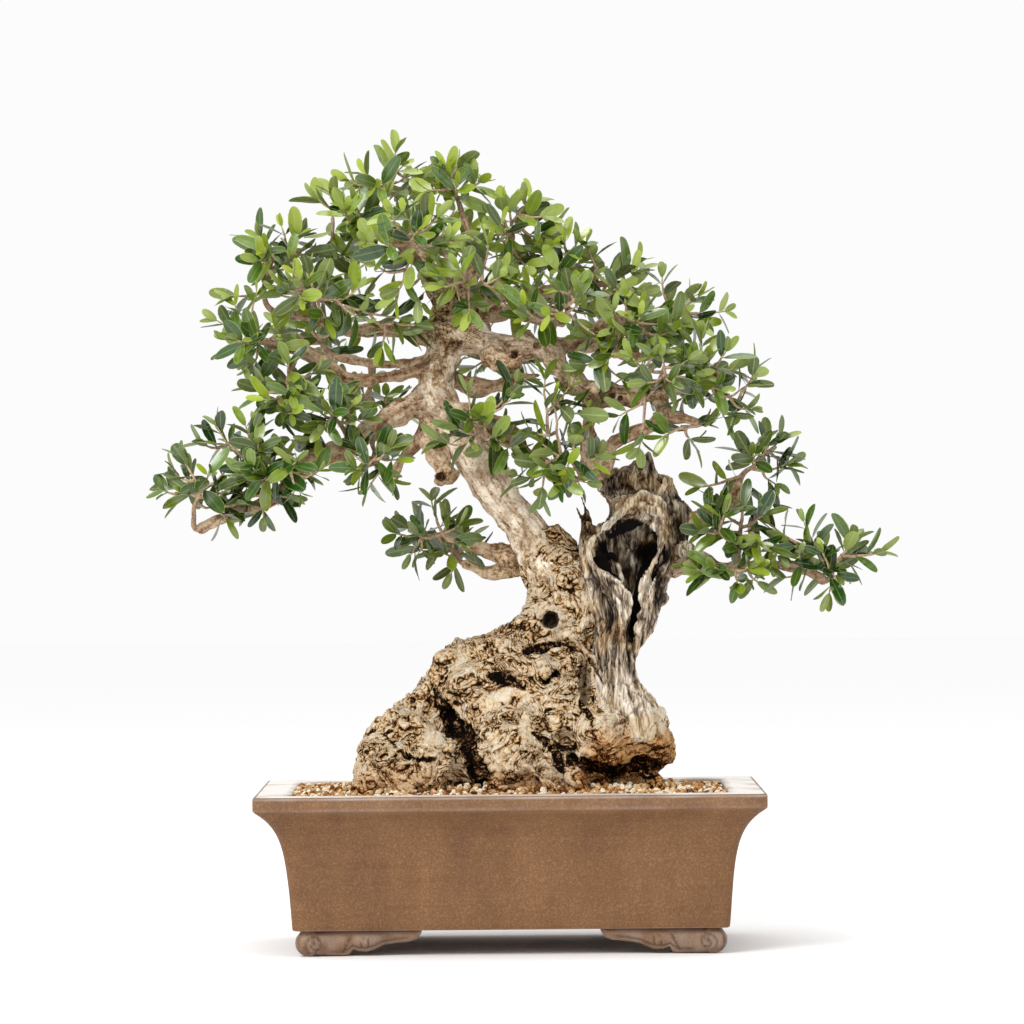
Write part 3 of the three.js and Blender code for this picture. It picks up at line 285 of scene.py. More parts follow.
# ---------------------------------------------------------------- solids from distances
class Field:
    """Distances to a solid's surface in mm on a cubic grid, below zero inside it."""

    def __init__(self, low, high, pitch):
        self.low = np.asarray(low, float)
        self.pitch = pitch
        self.count = np.ceil((np.asarray(high, float) - self.low) / pitch).astype(int) + 1
        self.values = np.full(self.count, FAR, np.float32)

    def window(self, low, high):
        """The grid's part between two corners, and its x, y and z."""
        first = np.clip(np.floor((np.asarray(low) - self.low) / self.pitch).astype(int), 0, self.count)
        last = np.clip(np.ceil((np.asarray(high) - self.low) / self.pitch).astype(int) + 1, first, self.count)
        axes = [(self.low[a] + self.pitch * np.arange(first[a], last[a])).astype(np.float32) for a in range(3)]
        return tuple(map(slice, first, last)), axes[0][:, None, None], axes[1][None, :, None], axes[2][None, None, :]

    def join(self, part, distance, blend, hollow=False):
        """Smooth union: the lesser distance, less blend * h * (1 - h) where both are within the blend. A
        hollow is joined to the space outside instead, whose distances are the opposites."""
        sign = -1 if hollow else 1
        old = sign * self.values[part]
        h = np.clip(0.5 + 0.5 * (old - distance) / blend, 0, 1)
        self.values[part] = sign * (old + (distance - old) * h - blend * h * (1 - h))

    def egg(self, middle, half, blend, hollow=False):
        """An ellipsoid, whose distance is near enough k (k - 1) / g, with k the length of the point over the
        half sizes and g its length over their squares."""
        middle, half = np.asarray(middle, float), np.asarray(half, float)
        reach = half + blend + 3 * self.pitch
        part, x, y, z = self.window(middle - reach, middle + reach)
        shape = [(at - centre) / size for at, centre, size in zip((x, y, z), middle, half)]
        k = np.sqrt(sum(a**2 for a in shape))
        g = np.sqrt(sum((a / size) ** 2 for a, size in zip(shape, half)))
        self.join(part, k * (k - 1) / np.maximum(g, 1e-6), blend, hollow)

    def rod(self, stations, blend, hollow=False):
        """A tapering round rod through stations [x, y, z, radius]: the least distance to its straight
        pieces, each the distance to its line less the radius there."""
        stations = smoothed_line(stations)
        margin = stations[:, 3].max() + blend + 3 * self.pitch
        part, x, y, z = self.window(stations[:, :3].min(0) - margin, stations[:, :3].max(0) + margin)
        own = Field((x.flat[0], y.flat[0], z.flat[0]), (x.flat[-1], y.flat[-1], z.flat[-1]), self.pitch)
        own.values = np.full(self.values[part].shape, FAR, np.float32)
        own.count = np.array(own.values.shape)
        for start, end in zip(stations[:-1], stations[1:]):
            near = max(start[3], end[3]) + blend + 3 * self.pitch
            low, high = np.minimum(start, end)[:3] - near, np.maximum(start, end)[:3] + near
            piece, *place = own.window(low, high)
            span, away = (end - start)[:3], [at - first for at, first in zip(place, start)]
            share = np.clip(sum(a * b for a, b in zip(away, span)) / (span @ span), 0, 1)
            gap = np.sqrt(sum((a - share * b) ** 2 for a, b in zip(away, span)))
            own.values[piece] = np.minimum(own.values[piece], gap - (start[3] + share * (end[3] - start[3])))
        self.join(part, own.values, blend, hollow)

    def front(self, x, z):
        """Where the solid is first met at each x and z, going back from the front."""
        column, level = ((at - low) / self.pitch for at, low in ((x, self.low[0]), (z, self.low[2])))
        inside = self.values[np.rint(column).astype(int), :, np.rint(level).astype(int)] < 0
        return self.low[1] + self.pitch * inside.argmax(1)

    def set_back(self, rows):
        """Rows of x, z and more, with the y of the surface put in, as seen from the front."""
        rows = np.array(rows, float)
        return np.c_[rows[:, 0], self.front(rows[:, 0], rows[:, 1]), rows[:, 1:]]

    def below(self, height, blend):
        """Everything under a height is taken away."""
        part, x, y, z = self.window(self.low, self.low + self.pitch * self.count)
        self.join(part, (z - height) + 0 * x + 0 * y, blend, hollow=True)

    def skin(self, rounds=1):
        """The surface where the distance is zero, relaxed that many times. Each grid cube that it crosses gets
        one point, the mean of its crossings with the cube's edges, and each grid edge that it crosses gets
        one face between the points of the four cubes round that edge, which faces out of the solid."""
        inside = self.values < 0
        size = np.array(inside.shape) - 1
        corners = np.array(list(np.ndindex(2, 2, 2)))
        held = sum(inside[tuple(map(slice, c, c + size))].astype(np.int8) for c in corners)
        crossed = (held > 0) & (held < 8)
        cubes = np.argwhere(crossed)
        number = np.full(crossed.shape, -1, np.int64)
        number[crossed] = np.arange(len(cubes))
        at = (cubes[:, None, :] + corners[None]).reshape(-1, 3)
        value = self.values[tuple(at.T)].reshape(-1, 8).astype(float)
        total, count = np.zeros((len(cubes), 3)), np.zeros(len(cubes))
        for i in range(8):
            for j in range(i + 1, 8):
                if np.abs(corners[i] - corners[j]).sum() == 1:
                    a, b = value[:, i], value[:, j]
                    hit = (a < 0) != (b < 0)
                    share = np.where(hit, a / np.where(hit, a - b, 1), 0)[:, None]
                    total += hit[:, None] * (corners[i] + share * (corners[j] - corners[i]))
                    count += hit
        points = self.low + self.pitch * (cubes + total / count[:, None])
        faces = []
        for axis in range(3):
            u, v = (axis + 1) % 3, (axis + 2) % 3
            near, far = (np.take(inside, range(k, size[axis] + k), axis) for k in (0, 1))
            edges = np.argwhere(near != far)
            inner = (edges[:, u] > 0) & (edges[:, v] > 0) & (edges[:, u] < size[u]) & (edges[:, v] < size[v])
            edges = edges[inner]
            ring = []
            for back in ((1, 1), (0, 1), (0, 0), (1, 0)):
                cell = edges.copy()
                cell[:, [u, v]] -= back
                ring.append(number[tuple(cell.T)])
            ring = np.stack(ring, 1)
            faces.append(np.where(near[tuple(edges.T)][:, None], ring, ring[:, ::-1]))
        quads = np.concatenate(faces)
        return relaxed(points, quads, rounds), quads


def smoothed_line(stations, step=5.0):
    """Stations on a Catmull-Rom curve through the given ones, about a step apart."""
    known = np.asarray(stations, float)
    known = np.concatenate([2 * known[:1] - known[1:2], known, 2 * known[-1:] - known[-2:-1]])
    made = []
    for i in range(1, len(known) - 2):
        a, b, c, d = known[i - 1 : i + 3]
        count = max(1, int(np.linalg.norm((c - b)[:3]) / step))
        t = (np.arange(count) / count)[:, None]
        made.append(0.5 * (2 * b + (c - a) * t + (2 * a - 5 * b + 4 * c - d) * t**2 + (3 * b - a - 3 * c + d) * t**3))
    made.append(known[-2:-1])
    line = np.concatenate(made)
    line[:, 3] = np.maximum(line[:, 3], 0.6)
    return line


def normals_of(points, quads):
    """Each point's outward direction: the sum of the crossed diagonals of the faces round it."""
    cross = np.cross(points[quads[:, 2]] - points[quads[:, 0]], points[quads[:, 3]] - points[quads[:, 1]])
    total = np.stack(
        [sum(np.bincount(quads[:, k], cross[:, axis], len(points)) for k in range(4)) for axis in range(3)], 1
    )
    return total / np.maximum(np.linalg.norm(total, axis=1), 1e-9)[:, None]


def relaxed(points, quads, rounds):
    """Each point moved half way to the mean of its neighbours, that many times."""
    for _ in range(rounds):
        points = points + 0.5 * (neighbour_mean(points, quads) - points)
    return points


def neighbour_mean(values, quads):
    """The mean over the points joined to each point by an edge, of one or several numbers a point."""
    flat = values if values.ndim > 1 else values[:, None]
    count = np.maximum(sum(np.bincount(quads[:, k], minlength=len(flat)) for k in range(4)) * 2, 1)
    mean = np.empty_like(flat)
    for axis in range(flat.shape[1]):
        total = np.zeros(len(flat))
        for k in range(4):
            beside = flat[quads[:, (k + 1) % 4], axis] + flat[quads[:, k - 1], axis]
            total += np.bincount(quads[:, k], beside, len(flat))
        mean[:, axis] = total / count
    return mean if values.ndim > 1 else mean[:, 0]


def standing_out(points, quads, rounds):
    """How far each point stands out of the surface smoothed that many times, in mm."""
    return np.einsum("ij,ij->i", points - relaxed(points, quads, rounds), normals_of(points, quads))


# ---------------------------------------------------------------- pieces
def norms(vectors):
    """The vectors' lengths."""
    return np.linalg.norm(vectors, axis=-1)


def make_piece(name, points, faces, materials, marks=None, uv=None, kinds=None, smooth=True, creased=False):
    """A mesh object from points in mm and faces, which are arrays of equally long rows. Its marks are
    attributes of one number a point, its UV map is one pair a point, its kinds are each face's number among
    the materials, and it may be creased where two of them meet."""
    corners = np.concatenate([block.ravel() for block in faces])
    sizes = np.concatenate([np.full(len(block), block.shape[1]) for block in faces])
    placed = np.asarray(points, float) / METRE + np.array([MIDDLE.x, MIDDLE.y, 0.0])
    mesh = bpy.data.meshes.new(name)
    mesh.vertices.add(len(placed))
    mesh.vertices.foreach_set("co", placed.astype(np.float32).ravel())
    mesh.loops.add(len(corners))
    mesh.loops.foreach_set("vertex_index", corners.astype(np.int32))
    mesh.polygons.add(len(sizes))
    mesh.polygons.foreach_set("loop_start", (np.cumsum(sizes) - sizes).astype(np.int32))
    if kinds is not None:
        mesh.polygons.foreach_set("material_index", np.asarray(kinds, np.int32))
    mesh.polygons.foreach_set("use_smooth", np.full(len(sizes), smooth))
    mesh.update(calc_edges=True)
    if uv is not None:
        layer = mesh.uv_layers.new(name="surface")
        layer.data.foreach_set("uv", np.asarray(uv, np.float32)[corners].ravel())
    for label, values in (marks or {}).items():
        mesh.attributes.new(label, "FLOAT", "POINT").data.foreach_set("value", np.asarray(values, np.float32))
    mesh.validate()
    if creased:
        edge = np.empty(len(corners), np.int32)
        mesh.loops.foreach_get("edge_index", edge)
        kind = np.repeat(kinds, sizes)
        least, most = np.full(len(mesh.edges), 99.0), np.zeros(len(mesh.edges))
        np.minimum.at(least, edge, kind)
        np.maximum.at(most, edge, kind)
        mesh.attributes.new("sharp_edge", "BOOLEAN", "EDGE").data.foreach_set("value", least < most)
    for material in materials:
        mesh.materials.append(material)
    piece = bpy.data.objects.new(name, mesh)
    bpy.context.scene.collection.objects.link(piece)
    return piece


def add_node(tree, kind, inputs=None, stops=(), **settings):
    """Add a node with its own settings, its inputs, and its ramp's stops, which are pairs of a place and a
    colour. An input is a number, a hex colour, the name of one of the piece's attributes, a link, or a node,
    whose main output is then linked."""
    made = tree.nodes.new("ShaderNode" + kind)
    for name, value in settings.items():
        setattr(made, name, value)
    for key, value in (inputs or {}).items():
        if isinstance(value, str):
            value = (*linear(value), 1) if value[0] == "#" else add_node(tree, "Attribute", attribute_name=value)
        if isinstance(value, bpy.types.Node):
            value = value.outputs[2 if value.type in ("MIX", "ATTRIBUTE") else 0]
        if isinstance(value, bpy.types.NodeSocket):
            tree.links.new(value, made.inputs[key])
        else:
            made.inputs[key].default_value = value
    for i, (place, colour) in enumerate(stops):
        elements = made.color_ramp.elements
        stop = elements[i] if i < 2 else elements.new(place)
        stop.position = place
        stop.color = (*(linear(colour) if isinstance(colour, str) else colour), 1)
    return made


def new_material(name):
    """A material without nodes, what adds nodes to it, and the link that gives every pattern its place: the
    piece's own coordinates in metres."""
    material = bpy.data.materials.new(name)
    material.use_nodes = True
    material.node_tree.nodes.clear()
    add = partial(add_node, material.node_tree)
    return material, add, add("TexCoord").outputs["Object"]


def finished(material, colour, roughness, shine=0.5, bump=None, invert=False):
    """The material with its surface shader. Its bump is a height, its strength and its depth in metres."""
    add = partial(add_node, material.node_tree)
    inputs = {"Base Color": colour, "Roughness": roughness, "Specular IOR Level": shine}
    if bump:
        inputs["Normal"] = add("Bump", dict(zip(("Height", "Strength", "Distance"), bump)), invert=invert)
    add("OutputMaterial", {"Surface": add("BsdfPrincipled", inputs)})
    return material


def grid_faces(rows, columns, closed=True):
    """Faces of a grid of points listed row by row, each row closed on itself or open."""
    across = np.arange(columns if closed else columns - 1)
    a = (np.arange(rows - 1)[:, None] * columns + across[None]).ravel()
    b = (np.arange(rows - 1)[:, None] * columns + ((across + 1) % columns)[None]).ravel()
    return np.stack([a, b, b + columns, a + columns], 1)


def closed_tube(rows, around):
    """Faces of rings of points listed row by row, and of both ends."""
    ring = np.arange(around)[None]
    return [grid_faces(rows, around), ring[:, ::-1], (rows - 1) * around + ring]


def joined(parts):
    """Parts, each its points and its blocks of faces, as one."""
    starts = np.cumsum([0, *(len(points) for points, _ in parts)])
    faces = [block + start for (_, blocks), start in zip(parts, starts) for block in blocks]
    return np.concatenate([points for points, _ in parts]), faces


# ---------------------------------------------------------------- materials
def summed(add, total, *terms):
    """The total plus each term's value times its share."""
    for value, share in terms:
        total = add("Math", {0: value, 1: share, 2: total}, operation="MULTIPLY_ADD")
    return total


GRAIN = ("Scale", "Detail", "Roughness")


def alike(add, kind, shared, names, *rows):
    """Nodes of one kind: some inputs are shared by all, and the named ones are each node's own."""
    return [add(kind, {**shared, **dict(zip(names, row))}) for row in rows]


def stoneware(settings):
    """Stoneware: iron-rich clay fired hard and left unglazed, so it is matt and finely speckled, is stained
    where water runs down it, and is paler where the rim is rubbed; the near white of the rim's top is also a
    painted glare, and the grooves of the feet are darkened as painted shade."""
    material, add, place = new_material("unglazed_stoneware")
    runs, wiped = alike(add, "Mapping", {"Vector": place}, ("Scale",), ((30, 30, 9),), ((14, 14, 210),))
    stain, streak, grit = alike(
        add, "TexNoise", {}, ("Vector", *GRAIN), (runs, 1, 5, 0.6), (wiped, 1, 4, 0.7), (place, 620, 3, 0.75)
    )
    cloud = summed(add, stain, (streak, 0.35))
    body = add("ValToRGB", {"Fac": cloud}, [(0.5, "#7c5b40"), (0.67, settings.colour), (0.84, "#906c4b")])
    specks = add("ValToRGB", {"Fac": grit}, [(0.4, "#bfae9f"), (0.53, "#d6cabd"), (0.64, "#ffffff")])
    coloured = add("Mix", {0: 0.75, 6: body, 7: specks}, data_type="RGBA", blend_type="MULTIPLY")
    # Wear and painted glare: where worn is high, on the rim's top, the clay turns near white.
    rim = add("Mix", {0: "worn", 6: coloured, 7: (*settings.rim_wear_and_glare_colour, 1)}, data_type="RGBA")
    # Painted shade: the feet's grooves are darkened towards #3a2616 by how deep in a groove each point lies.
    groove_shaded = add("Mix", {0: "soot", 6: rim, 7: "#3a2616"}, data_type="RGBA")
    rubbed = {"Value": "worn", "From Min": 0.5}
    gloss, dull = alike(add, "MapRange", rubbed, ("To Min", "To Max"), (0.25, 1.0), (0.58, 0.3))
    return finished(material, groove_shaded, dull, gloss, (grit, 0.4, 0.0006))


def screen_plastic():
    """Polypropylene, moulded as mesh: dark grey with the faint mottling of a matt mould."""
    material, add, place = new_material("moulded_polypropylene")
    mottle = add("TexNoise", {"Vector": place, "Scale": 400, "Detail": 3})
    tone = add("ValToRGB", {"Fac": mottle}, [(0.3, "#1f2123"), (0.7, "#34373a")])
    return finished(material, tone, 0.55, 0.5, (mottle, 0.2, 0.0003))


def moist_soil():
    """Broken-down bonsai soil between the grains: moist, crumbly and dark brown, 3 mm crumbs."""
    material, add, place = new_material("moist_soil")
    crumbs = add("TexVoronoi", {"Vector": place, "Scale": 330})
    tone = add("ValToRGB", {"Fac": crumbs.outputs["Color"]}, [(0.1, "#1d120a"), (0.5, "#442c19"), (0.9, "#7b5430")])
    return finished(material, tone, 0.95, 0.1, (crumbs, 0.9, 0.002), invert=True)


def pumice_grains():
    """Pumice and baked clay: porous stone grains, each its own tone, from cream pumice to orange and dark
    brown clay, with pits under a millimetre wide."""
    material, add, place = new_material("pumice_and_baked_clay")
    pits = add("TexNoise", {"Vector": place, "Scale": 1100, "Detail": 3, "Roughness": 0.7})
    clays = [(0.0, "#241509"), (0.16, "#5a371d"), (0.32, "#935d33"), (0.48, "#bb844c")]
    tone = add("ValToRGB", {"Fac": "tint"}, [*clays, (0.68, "#e2bc88"), (0.82, "#fff2d8")])
    shade = add("ValToRGB", {"Fac": pits}, [(0.3, "#84715c"), (0.55, "#ffffff")])
    coloured = add("Mix", {0: 0.8, 6: tone, 7: shade}, data_type="RGBA", blend_type="MULTIPLY")
    return finished(material, coloured, 0.93, 0.15, (pits, 0.7, 0.0008))


def warped(add, place, scale, reach):
    """The place, moved about by a noise of that scale, up to half the reach in metres each way."""
    drift = add("TexNoise", {"Vector": place, "Scale": scale, "Detail": 1})
    centred = add("VectorMath", {0: drift.outputs["Color"], 1: (0.5, 0.5, 0.5)}, operation="SUBTRACT")
    return add("VectorMath", {0: centred, 1: (reach, reach, reach), 2: place}, operation="MULTIPLY_ADD")


def edges(add, place, plate, deep):
    """1 on warped plates, so many to the metre, and down to deep along their edges."""
    moved = warped(add, place, plate * 0.45, 1.6 / plate)
    cells = add("TexVoronoi", {"Vector": moved, "Scale": plate}, feature="DISTANCE_TO_EDGE")
    return add("MapRange", {"Value": cells, "From Min": 0.0, "From Max": 0.15, "To Min": deep})


def cracked(add, place, plate):
    """A cracked skin's height, from 0 in its cracks to 1: the product of how far the swirl attribute is from
    a whole number, roughened, and of the edges of large and of small plates."""
    rough, width = alike(add, "TexNoise", {"Vector": place}, GRAIN, (plate * 1.3, 4, 0.65), (plate * 0.3, 1))
    rings = add("Math", {0: summed(add, "swirl", (rough, 0.7)), 1: 0.5}, operation="PINGPONG")
    half = add("Math", {0: width, 1: 0.5}, operation="MULTIPLY")
    skin = add("MapRange", {"Value": rings, "From Min": 0.0, "From Max": half, "To Min": 0.0})
    for finer, deep in ((1, 0.35), (2.3, 0.7)):
        skin = add("Math", {0: skin, 1: edges(add, place, plate * finer, deep)}, operation="MULTIPLY")
    return skin


def corky_bark():
    """Cork: the thick old bark of an olive's burrs, cream where it is dry and rubbed, ochre in its folds and
    nearly black in the cracks that swirl round its knots 3 to 5 mm apart, with damp orange-brown bark near
    the soil. The relief mark carries painted light and shade as well: lighter on facets turned upwards,
    darker in the folds, hollows, cracks and caves."""
    material, add, place = new_material("corky_olive_bark")
    grains = (430, 4, 0.75), (120, 3, 0.6), (34, 4, 0.6)
    speck, patch, blotch = alike(add, "TexNoise", {"Vector": place}, GRAIN, *grains)
    plain = add("Mix", {0: "rubbed", 2: cracked(add, place, 190), 3: 0.9}).outputs[0]
    # The relief mark paints light and shade into the colour: highlights on facets turned upwards, and shade in folds,
    # hollows, cracks and caves.
    height = summed(add, -0.755, ("relief", 0.5), (plain, 0.5), (patch, 0.4), (speck, 0.9))
    damp = [(0.04, "#0f0703"), (0.18, "#5a3418"), (0.34, "#ae6c34"), (0.58, "#f2bf82")]
    dry = [(0.04, "#0d0703"), (0.16, "#4c3018"), (0.28, "#ab7f4e"), (0.4, "#e9c18d")]
    dry += [(0.54, "#fce3bf"), (0.74, "#fff2da")]
    bark, damped = (add("ValToRGB", {"Fac": height}, stops) for stops in (dry, damp))
    stained = summed(add, "damp", (blotch, 0.5))
    share = add("MapRange", {"Value": stained, "From Min": 0.34, "From Max": 0.85})
    lower = add("Mix", {0: share, 6: bark, 7: damped}, data_type="RGBA")
    return finished(material, lower, 0.9, 0.1, (height, 1.0, 0.004))


def deadwood():
    """Olive heartwood without its bark, weathered for years: its fibres stand out 1 to 2 mm apart, silver
    and cream, tan on the rims, with painted shade from the ridge mark: lighter where the wood stands out and
    darker in hollows, down to charcoal in the trunk's cavity."""
    material, add, place = new_material("weathered_olive_heartwood")
    moved = warped(add, place, 45, 0.014)
    along = add("Mapping", {"Vector": moved, "Scale": (560, 560, 60)})
    grain, blotch = alike(add, "TexNoise", {}, ("Vector", *GRAIN), (along, 1, 4, 0.65), (moved, 70, 4, 0.6))
    mixed = summed(add, -0.69, (grain, 1.15), ("relief", 0.42))
    # Painted shade: the ridge mark lightens what stands out and darkens hollows and the cavity.
    lit = summed(add, mixed, ("ridge", 0.6))
    silver = [(0.12, "#060403"), (0.33, "#30271f"), (0.51, "#776a5c"), (0.67, "#bdad9a"), (0.84, "#f6ecdc")]
    tan = [(0.1, "#0d0704"), (0.3, "#4c3724"), (0.5, "#967a5a"), (0.78, "#e9d3b0")]
    grey, warm = (add("ValToRGB", {"Fac": lit}, stops) for stops in (silver, tan))
    stained = summed(add, "tan", (blotch, 1.0))
    share = add("MapRange", {"Value": stained, "From Min": 0.42, "From Max": 0.95})
    coloured = add("Mix", {0: share, 6: grey, 7: warm}, data_type="RGBA")
    return finished(material, coloured, 0.85, 0.12, (mixed, 1.0, 0.0025))


def smooth_bark():
    """Young olive bark: thin, smooth and grey-beige on the trunk and browner on the limbs, with fine cracks
    along it about 2 mm apart and rough tan cork where branches were cut."""
    material, add, place = new_material("smooth_olive_bark")
    fine, blotch = alike(add, "TexNoise", {"Vector": place}, GRAIN, (380, 5, 0.75), (60, 4, 0.6))
    beside = add("CombineXYZ", {0: "across", 1: "deep", 2: "along"})
    streak = add("TexNoise", {"Vector": beside, "Scale": 0.5, "Detail": 3, "Roughness": 0.65})
    # On the limbs the relief mark also carries painted shade in hollows.
    even = summed(add, -0.475, ("relief", 0.4), (streak, 0.6), (fine, 1.1))
    coarse = summed(add, even, (cracked(add, place, 260), 0.5))
    broken = add("Math", {0: coarse, 1: 0.38}, operation="SUBTRACT")
    height = add("Mix", {0: "rough", 2: even, 3: broken}).outputs[0]
    trunk = [(0.18, "#3d2b1b"), (0.36, "#94785b"), (0.51, "#ccb495"), (0.7, "#fbedd9")]
    limb = [(0.17, "#2c1c0e"), (0.34, "#6c4e35"), (0.5, "#a68464"), (0.7, "#dcc4a6")]
    wound = [(0.14, "#1d130b"), (0.3, "#5f432a"), (0.46, "#9b7a52"), (0.7, "#e2cba6")]
    pale, brown, cork = (add("ValToRGB", {"Fac": height}, stops) for stops in (trunk, limb, wound))
    limbs = add("Mix", {0: "slim", 6: pale, 7: brown}, data_type="RGBA")
    scarred = add("Mix", {0: "rough", 6: limbs, 7: cork}, data_type="RGBA")
    shade = add("ValToRGB", {"Fac": blotch}, [(0.36, "#a8927a"), (0.56, "#ffffff")])
    toned = add("Mix", {0: 0.8, 6: scarred, 7: shade}, data_type="RGBA", blend_type="MULTIPLY")
    return finished(material, toned, 0.8, 0.15, (height, 0.8, 0.0016))


def shoot_bark():
    """The skin of this year's and last year's shoots: green-tan near the leaves and pinkish tan further
    back."""
    material, add, place = new_material("olive_shoot_skin")
    fine = add("TexNoise", {"Vector": place, "Scale": 500, "Detail": 3})
    tone = add("ValToRGB", {"Fac": "tint"}, [(0.0, "#b0a873"), (0.3, "#c9ac8e"), (0.8, "#a98a6f")])
    shade = add("ValToRGB", {"Fac": fine}, [(0.3, "#8c7d6e"), (0.6, "#ffffff")])
    coloured = add("Mix", {0: 0.8, 6: tone, 7: shade}, data_type="RGBA", blend_type="MULTIPLY")
    return finished(material, coloured, 0.7, 0.5, (fine, 0.5, 0.0008))


def beside_rib(add, far, share):
    """How far a place is from a leaf's midrib, 0 on it and 0.5 at the edge, and the rib's share of the
    colour, which fades out by the far distance."""
    spot = add("SeparateXYZ", {0: add("UVMap", uv_map="surface")})
    side = add("Math", {0: add("Math", {0: spot, 1: 0.5}, operation="SUBTRACT")}, operation="ABSOLUTE")
    return side, add("MapRange", {"Value": side, "From Min": 0.02, "From Max": far, "To Min": share, "To Max": 0.0})


def leaf_top(settings):
    """The upper side of an olive leaf: a waxy skin over dark green, with a paler midrib, a thin pale edge and
    faint mottling. Each leaf has its own tint, and the youngest are yellow-green."""
    material, add, place = new_material("olive_leaf_upper_side")
    side, rib = beside_rib(add, 0.06, 0.22)
    mottle = add("TexNoise", {"Vector": place, "Scale": 260, "Detail": 3})
    greens = [(0.1, "#08270b"), (0.42, settings.leaf_colour), (0.74, "#45661b"), (1.0, "#8ba133")]
    mature = add("ValToRGB", {"Fac": summed(add, "tint", (mottle, 0.3))}, greens)
    fresh = add("Mix", {0: "young", 6: mature, 7: (*settings.young_colour, 1)}, data_type="RGBA")
    edge = add("MapRange", {"Value": side, "From Min": 0.43, "From Max": 0.48, "To Max": 0.6})
    lines = add("Math", {0: rib, 1: edge}, operation="MAXIMUM")
    ribbed = add("Mix", {0: lines, 6: fresh, 7: "#aebb52"}, data_type="RGBA")
    return finished(material, ribbed, 0.24, 0.8)


def leaf_under(settings):
    """The under side of an olive leaf: matt sage, from its coat of fine scales, with a raised midrib."""
    material, add, place = new_material("olive_leaf_under_side")
    _, rib = beside_rib(add, 0.07, 0.5)
    mottle = add("TexNoise", {"Vector": place, "Scale": 300, "Detail": 3})
    scales = add("ValToRGB", {"Fac": mottle}, [(0.3, "#4f602b"), (0.65, settings.under_colour)])
    fresh = add("Mix", {0: "young", 6: scales, 7: "#a3b45c"}, data_type="RGBA")
    ribbed = add("Mix", {0: rib, 6: fresh, 7: "#b7bf85"}, data_type="RGBA")
    return finished(material, ribbed, 0.58)


# ---------------------------------------------------------------- pot
FOOT_HEIGHT = 20.0
FLARE = 29.0  # how far the lip stands out past the foot of the wall
LIP = 11.5
FLOOR_TOP = 34.0
RIM_WIDTH = 28.0
PLAN_CORNER = 6.0
DRAIN_RADIUS = 13.0
DRAIN_SPACING = 150.0
DRAIN_SIDES = 36
DRAIN_REACH = (12.0, 40.0)  # from below the floor to above it


def plan_of_corners(sides=(44, 28), arc=7):
    """The rounded rectangle's points as [x sign, y sign, x turn, y turn]: a point is sign * (half - radius)
    + radius * turn, with the sign running evenly along each side and the turn round each corner."""
    rows = []
    for quarter, (sx, sy) in enumerate(((1, 1), (-1, 1), (-1, -1), (1, -1))):
        turn = (quarter + np.arange(arc) / (arc - 1)) * math.pi / 2
        rows.append(np.stack([np.full(arc, sx), np.full(arc, sy), np.cos(turn), np.sin(turn)], 1))
        count = sides[quarter % 2]
        along = 1 - 2 * np.arange(1, count) / count
        still, move = np.ones(count - 1), along
        end = (quarter + 1) * math.pi / 2
        edge = [move * sx, still * sy] if quarter % 2 == 0 else [still * sx, move * sy]
        rows.append(np.stack([*edge, np.full(count - 1, math.cos(end)), np.full(count - 1, math.sin(end))], 1))
    return np.concatenate(rows)


def pot_profile(length, depth, height):
    """The pot's section from the middle of its underside, up the flared wall, over the lip and down inside
    to the middle of its floor, as [half length, half depth, z, corner radius, wear and glare]; the last is
    partly real wear of the lip's edges, and on the rim's top and its rounded inner edge mostly a painted
    glare, a near-white highlight. Each row but the ends is first set in by one distance from the lip's edge.
    The wall stands out by the flare times 0.49 s^2.5 + 0.51 s^8 at a share s of its height, and swells
    1.7 sin(pi s^0.8) mm."""
    wall, inner = height - LIP - FOOT_HEIGHT, height - LIP - FLOOR_TOP - 4
    rows = [(FLARE + 1.2, FOOT_HEIGHT, 5, 0), (FLARE + 0.3, FOOT_HEIGHT + 0.4, 6, 0.15)]
    for s in np.linspace(0.012, 1, 30):
        out = (FLARE - 1.1) * (0.49 * s**2.5 + 0.51 * s**8) + 1.7 * math.sin(math.pi * s**0.8)
        rows.append((FLARE - out, FOOT_HEIGHT + s * (wall - 0.4), PLAN_CORNER, 0))
    for turn in np.linspace(-1, 0, 4) * math.pi / 2:
        rows.append((1 - math.cos(turn), height - LIP + 1.4 + 1.2 * math.sin(turn), PLAN_CORNER, 0.06))
    rows += [(0, height - LIP * s, PLAN_CORNER, 0.02) for s in (0.7, 0.45, 0.25)]
    for turn in np.linspace(0, 1, 5) * math.pi / 2:
        inset, drop = (1.6 * (1 - turned(turn)) for turned in (math.cos, math.sin))
        rows.append((inset, height - drop, PLAN_CORNER, 0.05 + 0.15 * (turn < 0.6)))
    # Painted glare: the rim's top gets the full wear and glare value, which turns it near white.
    rows += [(inset, height, PLAN_CORNER, 1) for inset in (3, 8, 15, 22)]
    for turn in np.linspace(0, 1, 4) * math.pi / 2:
        rows.append((RIM_WIDTH - 1.5 * (1 - math.sin(turn)), height - 1.5 * (1 - math.cos(turn)), 7, 0.6))
    rows += [(RIM_WIDTH + 10 * s, height - LIP - s * inner, 7, 0) for s in np.linspace(0, 1, 7)[1:]]
    for turn in np.linspace(0, 1, 4)[1:] * math.pi / 2:
        rows.append((RIM_WIDTH + 14 - 4 * math.cos(turn), FLOOR_TOP + 4 * (1 - math.sin(turn)), 7, 0))
    half = np.array([length, depth]) / 2
    under = [(4, 1, FOOT_HEIGHT, 0.5, 0), (*(half - FLARE) / 2, FOOT_HEIGHT, 5, 0)]
    floor = [(*(half - RIM_WIDTH) / 2, FLOOR_TOP, 5, 0), (4, 1, FLOOR_TOP, 0.5, 0)]
    return np.array([*under, *((*(half - inset), *rest) for inset, *rest in rows), *floor], float)


